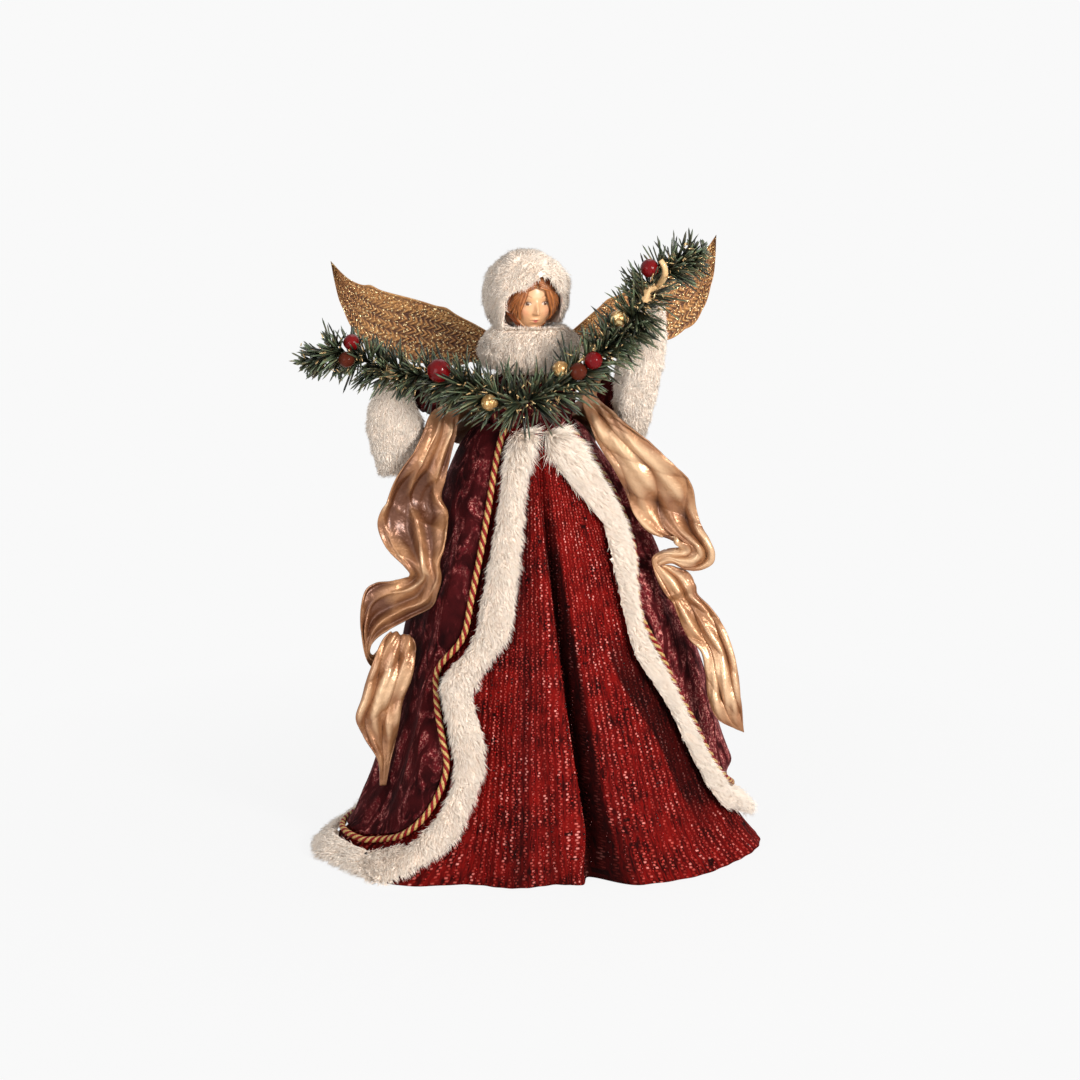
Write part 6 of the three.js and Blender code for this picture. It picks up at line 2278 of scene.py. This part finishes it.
@dataclass
class Wing:
    """A moulded wing: small coverts along its leading edge and long barbed feathers below."""

    side: Side
    columns: int = 380
    rows: int = 110
    hinge_out: float = 16.0
    hinge_back: float = 36.0
    foot: float = CONE_TOP + 32.0
    sweep: float = 15.0
    lift: float = 9.0
    thick: float = 2.6
    camber: float = 7.0
    peg_radius: float = 2.4
    peg_length: float = 12.0
    feathers: int = 9
    tip: float = 3.2
    step: float = 1.6
    leading: tuple = ((0, 27), (22, 40), (50, 52), (83, 60), (104, 66), (118, 78))
    trailing: tuple = ((0, 19), (20, 14), (60, 14), (94, 23), (111, 49), (118, 78))

    def relief(self, u: Array, v: Array) -> Array:
        """Height of the moulding.

        Args:
            u: Shares along the wing.
            v: Shares across it.

        Returns:
            Heights in millimetres.
        """
        rim = 0.9 * hump(v, 0.03) + 0.5 * hump(v - 1.0, 0.02)
        spots = np.stack([118.0 * u, 52.0 * v, 0.0 * u], -1)
        uneven = ripple(spots, 11.0, 4)
        place = ((v - 0.2) / 0.16 + 0.5 * np.sin(2.6 * u + 0.3) + 0.06 * uneven) % 1.0
        feather = np.sin(np.pi * place) ** 0.5
        barb = crease(np.pi * (46.0 * u - 2.0 * np.abs(place - 0.5) + 0.24 * uneven))
        long = 0.55 * feather + 0.42 * barb * feather * (1.0 + 0.35 * uneven)
        grains = 0.8 * np.abs(crease(1.6 * ripple(spots, 5.0, 3)))
        fade = smoothstep(v, 0.03, 0.07) * fall(v, 0.97, 1.0) * fall(u, 0.95, 1.0)
        return rim + lerp(grains, long, smoothstep(v, 0.15, 0.24)) * fade

    def build(self) -> None:
        """Makes the wing with its peg."""
        side = self.side
        steps = np.linspace(0.0, 1.0, len(self.leading))
        lead_out, lead_up = (through(list(zip([p[k] for p in self.leading], steps))) for k in (0, 1))
        trail_out, trail_up = (through(list(zip([p[k] for p in self.trailing], steps))) for k in (0, 1))
        along, across = np.linspace(0.0, 1.0, self.columns), np.linspace(0.0, 1.0, self.rows)
        u, v = np.meshgrid(along, across, indexing="ij")
        notch = self.tip * v**4 * np.abs(np.sin(np.pi * self.feathers * u)) * (1.0 - u)
        notch = notch * np.clip(6.0 * u - 0.4, 0.0, 1.0)
        root_up = self.leading[0][1]
        out = lerp(lead_out(u), trail_out(u), v)
        steps_up = self.step * (hump(u - 0.33, 0.035) + hump(u - 0.66, 0.035)) * (1.0 - v) ** 8
        up = lerp(lead_up(u), trail_up(u), v) - notch + steps_up - root_up
        bend = math.radians(self.lift if side is Side.LEFT else 0.0) * smoothstep(u, 0.0, 0.3)
        out, up = out * np.cos(bend) - up * np.sin(bend), root_up + up * np.cos(bend) + out * np.sin(bend)
        bow = self.camber * np.sin(np.pi * u) * (1.0 - 0.7 * v)
        thick = 0.45 * self.thick * (1.0 - 0.55 * u) * (1.0 - 0.45 * v)
        height = self.relief(u, v)
        back = out * math.tan(math.radians(self.sweep)) - bow
        place = np.array([side.value * self.hinge_out, self.hinge_back, self.foot])
        faces = []
        for sign in (-1.0, 1.0):
            deep = back + sign * (thick + 0.95 * height)
            faces.append(np.stack([side.value * out, deep, up], -1) + place)
        shape = closed_cloth(faces[0], faces[1])
        shape.tone = np.tile(np.clip(height.ravel(), 0.0, 1.0), 2)
        foot = self.trailing[0][1] - self.peg_length
        heights = np.array([foot, foot + 0.4, root_up - 2.4, root_up - 2.0])
        line = np.stack([np.zeros(4), np.zeros(4), heights], 1) + place
        peg = tube(line, self.peg_radius * np.array([0.82, 1.0, 1.0, 0.82]), 24)
        peg.tone = np.full(len(peg.points), 0.6)
        made = outward(piece(f"gilt_wing_{side.word}", [shape, peg], [GILT.material()]))
        body = Body.LEFT_WING if side is Side.LEFT else Body.RIGHT_WING
        settle(made, body, [f"wing_{side.word}"])


@dataclass
class InnerParts:
    """Solids of the frame that show as they are, with finishes of their own."""

    def build(self) -> None:
        """Gives each its material."""
        finishes = {
            "tree_cone": CARD,
            "torso": FOAM,
            "neck_post": DOWEL,
            "arm_wire_left": STEEL,
            "arm_wire_right": STEEL,
            "wing_bracket": BRASS,
        }
        for node, finish in finishes.items():
            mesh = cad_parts[node].data
            mesh.materials.clear()
            mesh.materials.append(finish.material())
            LOG.info("%s: %s", node, finish.name)


# Studio


@dataclass(frozen=True)
class Lamp:
    """One soft lamp: where it stands, how large it is in metres, its power in watts and its colour."""

    name: str
    place: Place
    size: float
    power: float
    colour: Place = (1.0, 1.0, 1.0)


@dataclass
class Studio:
    """A pale floor, soft lamps and the camera at the photograph's angle."""

    aim: Place = (0.0066, 0.0, 0.201)
    distance: float = 1.7
    elevation: float = 12.0
    frame_width: float = 0.7128
    sensor: float = 36.0
    pale: float = 0.947
    shadow_share: float = 0.93
    floor_half: float = 14000.0
    floor_grey: float = 0.82
    floor_roughness: float = 0.9
    sky: Colour = (0.32, 0.32, 0.325, 1.0)
    lamps: tuple[Lamp, ...] = (
        Lamp("key", (1.0, -1.35, 0.78), 0.5, 38.3, (1.0, 0.97, 0.94)),
        Lamp("fill", (-0.9, -1.3, 0.4), 1.0, 10.0, (0.99, 0.98, 0.98)),
        Lamp("top", (0.1, 0.5, 1.5), 0.8, 2.5),
    )

    def build(self) -> None:
        """Makes the camera, the floor, the lamps and the world."""
        self._camera()
        self._floor()
        self._world()
        middle = Vector(self.aim)
        for lamp in self.lamps:
            light = bpy.data.lights.new(lamp.name, "AREA")
            light.shape = "DISK"
            light.size = lamp.size
            light.energy = lamp.power
            light.color = lamp.colour
            made = linked(lamp.name, light)
            made.location = lamp.place
            made.rotation_euler = (middle - Vector(lamp.place)).to_track_quat("-Z", "Y").to_euler()
        bpy.context.scene.view_settings.view_transform = "Standard"

    def _camera(self) -> None:
        """Sets the camera."""
        data = bpy.data.cameras.new("camera")
        data.sensor_width = self.sensor
        data.lens = self.sensor * self.distance / self.frame_width
        camera = linked("camera", data)
        tilt = math.radians(self.elevation)
        back = Vector((0.0, -math.cos(tilt), math.sin(tilt)))
        camera.location = Vector(self.aim) + back * self.distance
        camera.rotation_euler = (-back).to_track_quat("-Z", "Y").to_euler()
        bpy.context.scene.camera = camera

    def _floor(self) -> None:
        """Lays a wide pale floor that keeps the object's shadow."""
        corners = np.array([[-1, -1, 0], [1, -1, 0], [1, 1, 0], [-1, 1, 0]]) * self.floor_half
        material = bpy.data.materials.new("pale floor")
        material.use_nodes = True
        shade = Shading(material.node_tree)
        shade.wear("Base Color", grey(self.floor_grey))
        shade.wear("Roughness", self.floor_roughness)
        plain = shade.first("BSDF_PRINCIPLED").outputs[0]
        glow = shade.add("ShaderNodeEmission", {"Color": grey(self.pale), "Strength": 1.0}).outputs[0]
        ray = self._plain_rays(shade)
        spot = shade.add("ShaderNodeNewGeometry").outputs["Position"]
        far = shade.add("ShaderNodeVectorMath", {0: spot}, operation="LENGTH").outputs["Value"]
        share = shade.times(ray, shade.spread(far, 0.12, 0.5, self.shadow_share, 1.0))
        blend = shade.add("ShaderNodeMixShader", {0: share, 1: plain, 2: glow}).outputs[0]
        shade.feed(shade.first("OUTPUT_MATERIAL").inputs["Surface"], blend)
        floor = piece("floor", [Shape(corners, np.array([[0, 1, 2, 3]]))], [material])

    @staticmethod
    def _plain_rays(shade: Shading) -> Socket:
        """Tells rays that show a surface from rays that light one.

        Args:
            shade: The tree's helper.

        Returns:
            1 for rays from the camera, off gloss and through glass.
        """
        path = shade.add("ShaderNodeLightPath")
        seen = shade.sum("MAXIMUM", path.outputs["Is Camera Ray"], path.outputs["Is Glossy Ray"])
        return shade.sum("MAXIMUM", seen, path.outputs["Is Transmission Ray"])

    def _world(self) -> None:
        """Sets a plain pale world that lights softly."""
        world = bpy.data.worlds.new("studio")
        world.use_nodes = True
        shade = Shading(world.node_tree)
        colour = shade.mix(self._plain_rays(shade), self.sky, grey(self.pale))
        shade.feed(shade.first("BACKGROUND").inputs["Color"], colour)
        bpy.context.scene.world = world


def main() -> None:
    """Builds the scene in order and reports each piece."""
    logging.basicConfig(level=logging.INFO, format="%(name)s %(message)s")
    drape = Drape()
    Studio().build()
    InnerParts().build()
    Underskirt(drape).build()
    trim = FurTrim()
    Robe(drape).build(trim.border())
    Stole().build()
    VelvetTop().build()
    trim.stuffed()
    Garland().build()
    Head().build()
    Hands().build()
    for side in Side:
        Wing(side).build()


if __name__ == "__main__":
    main()
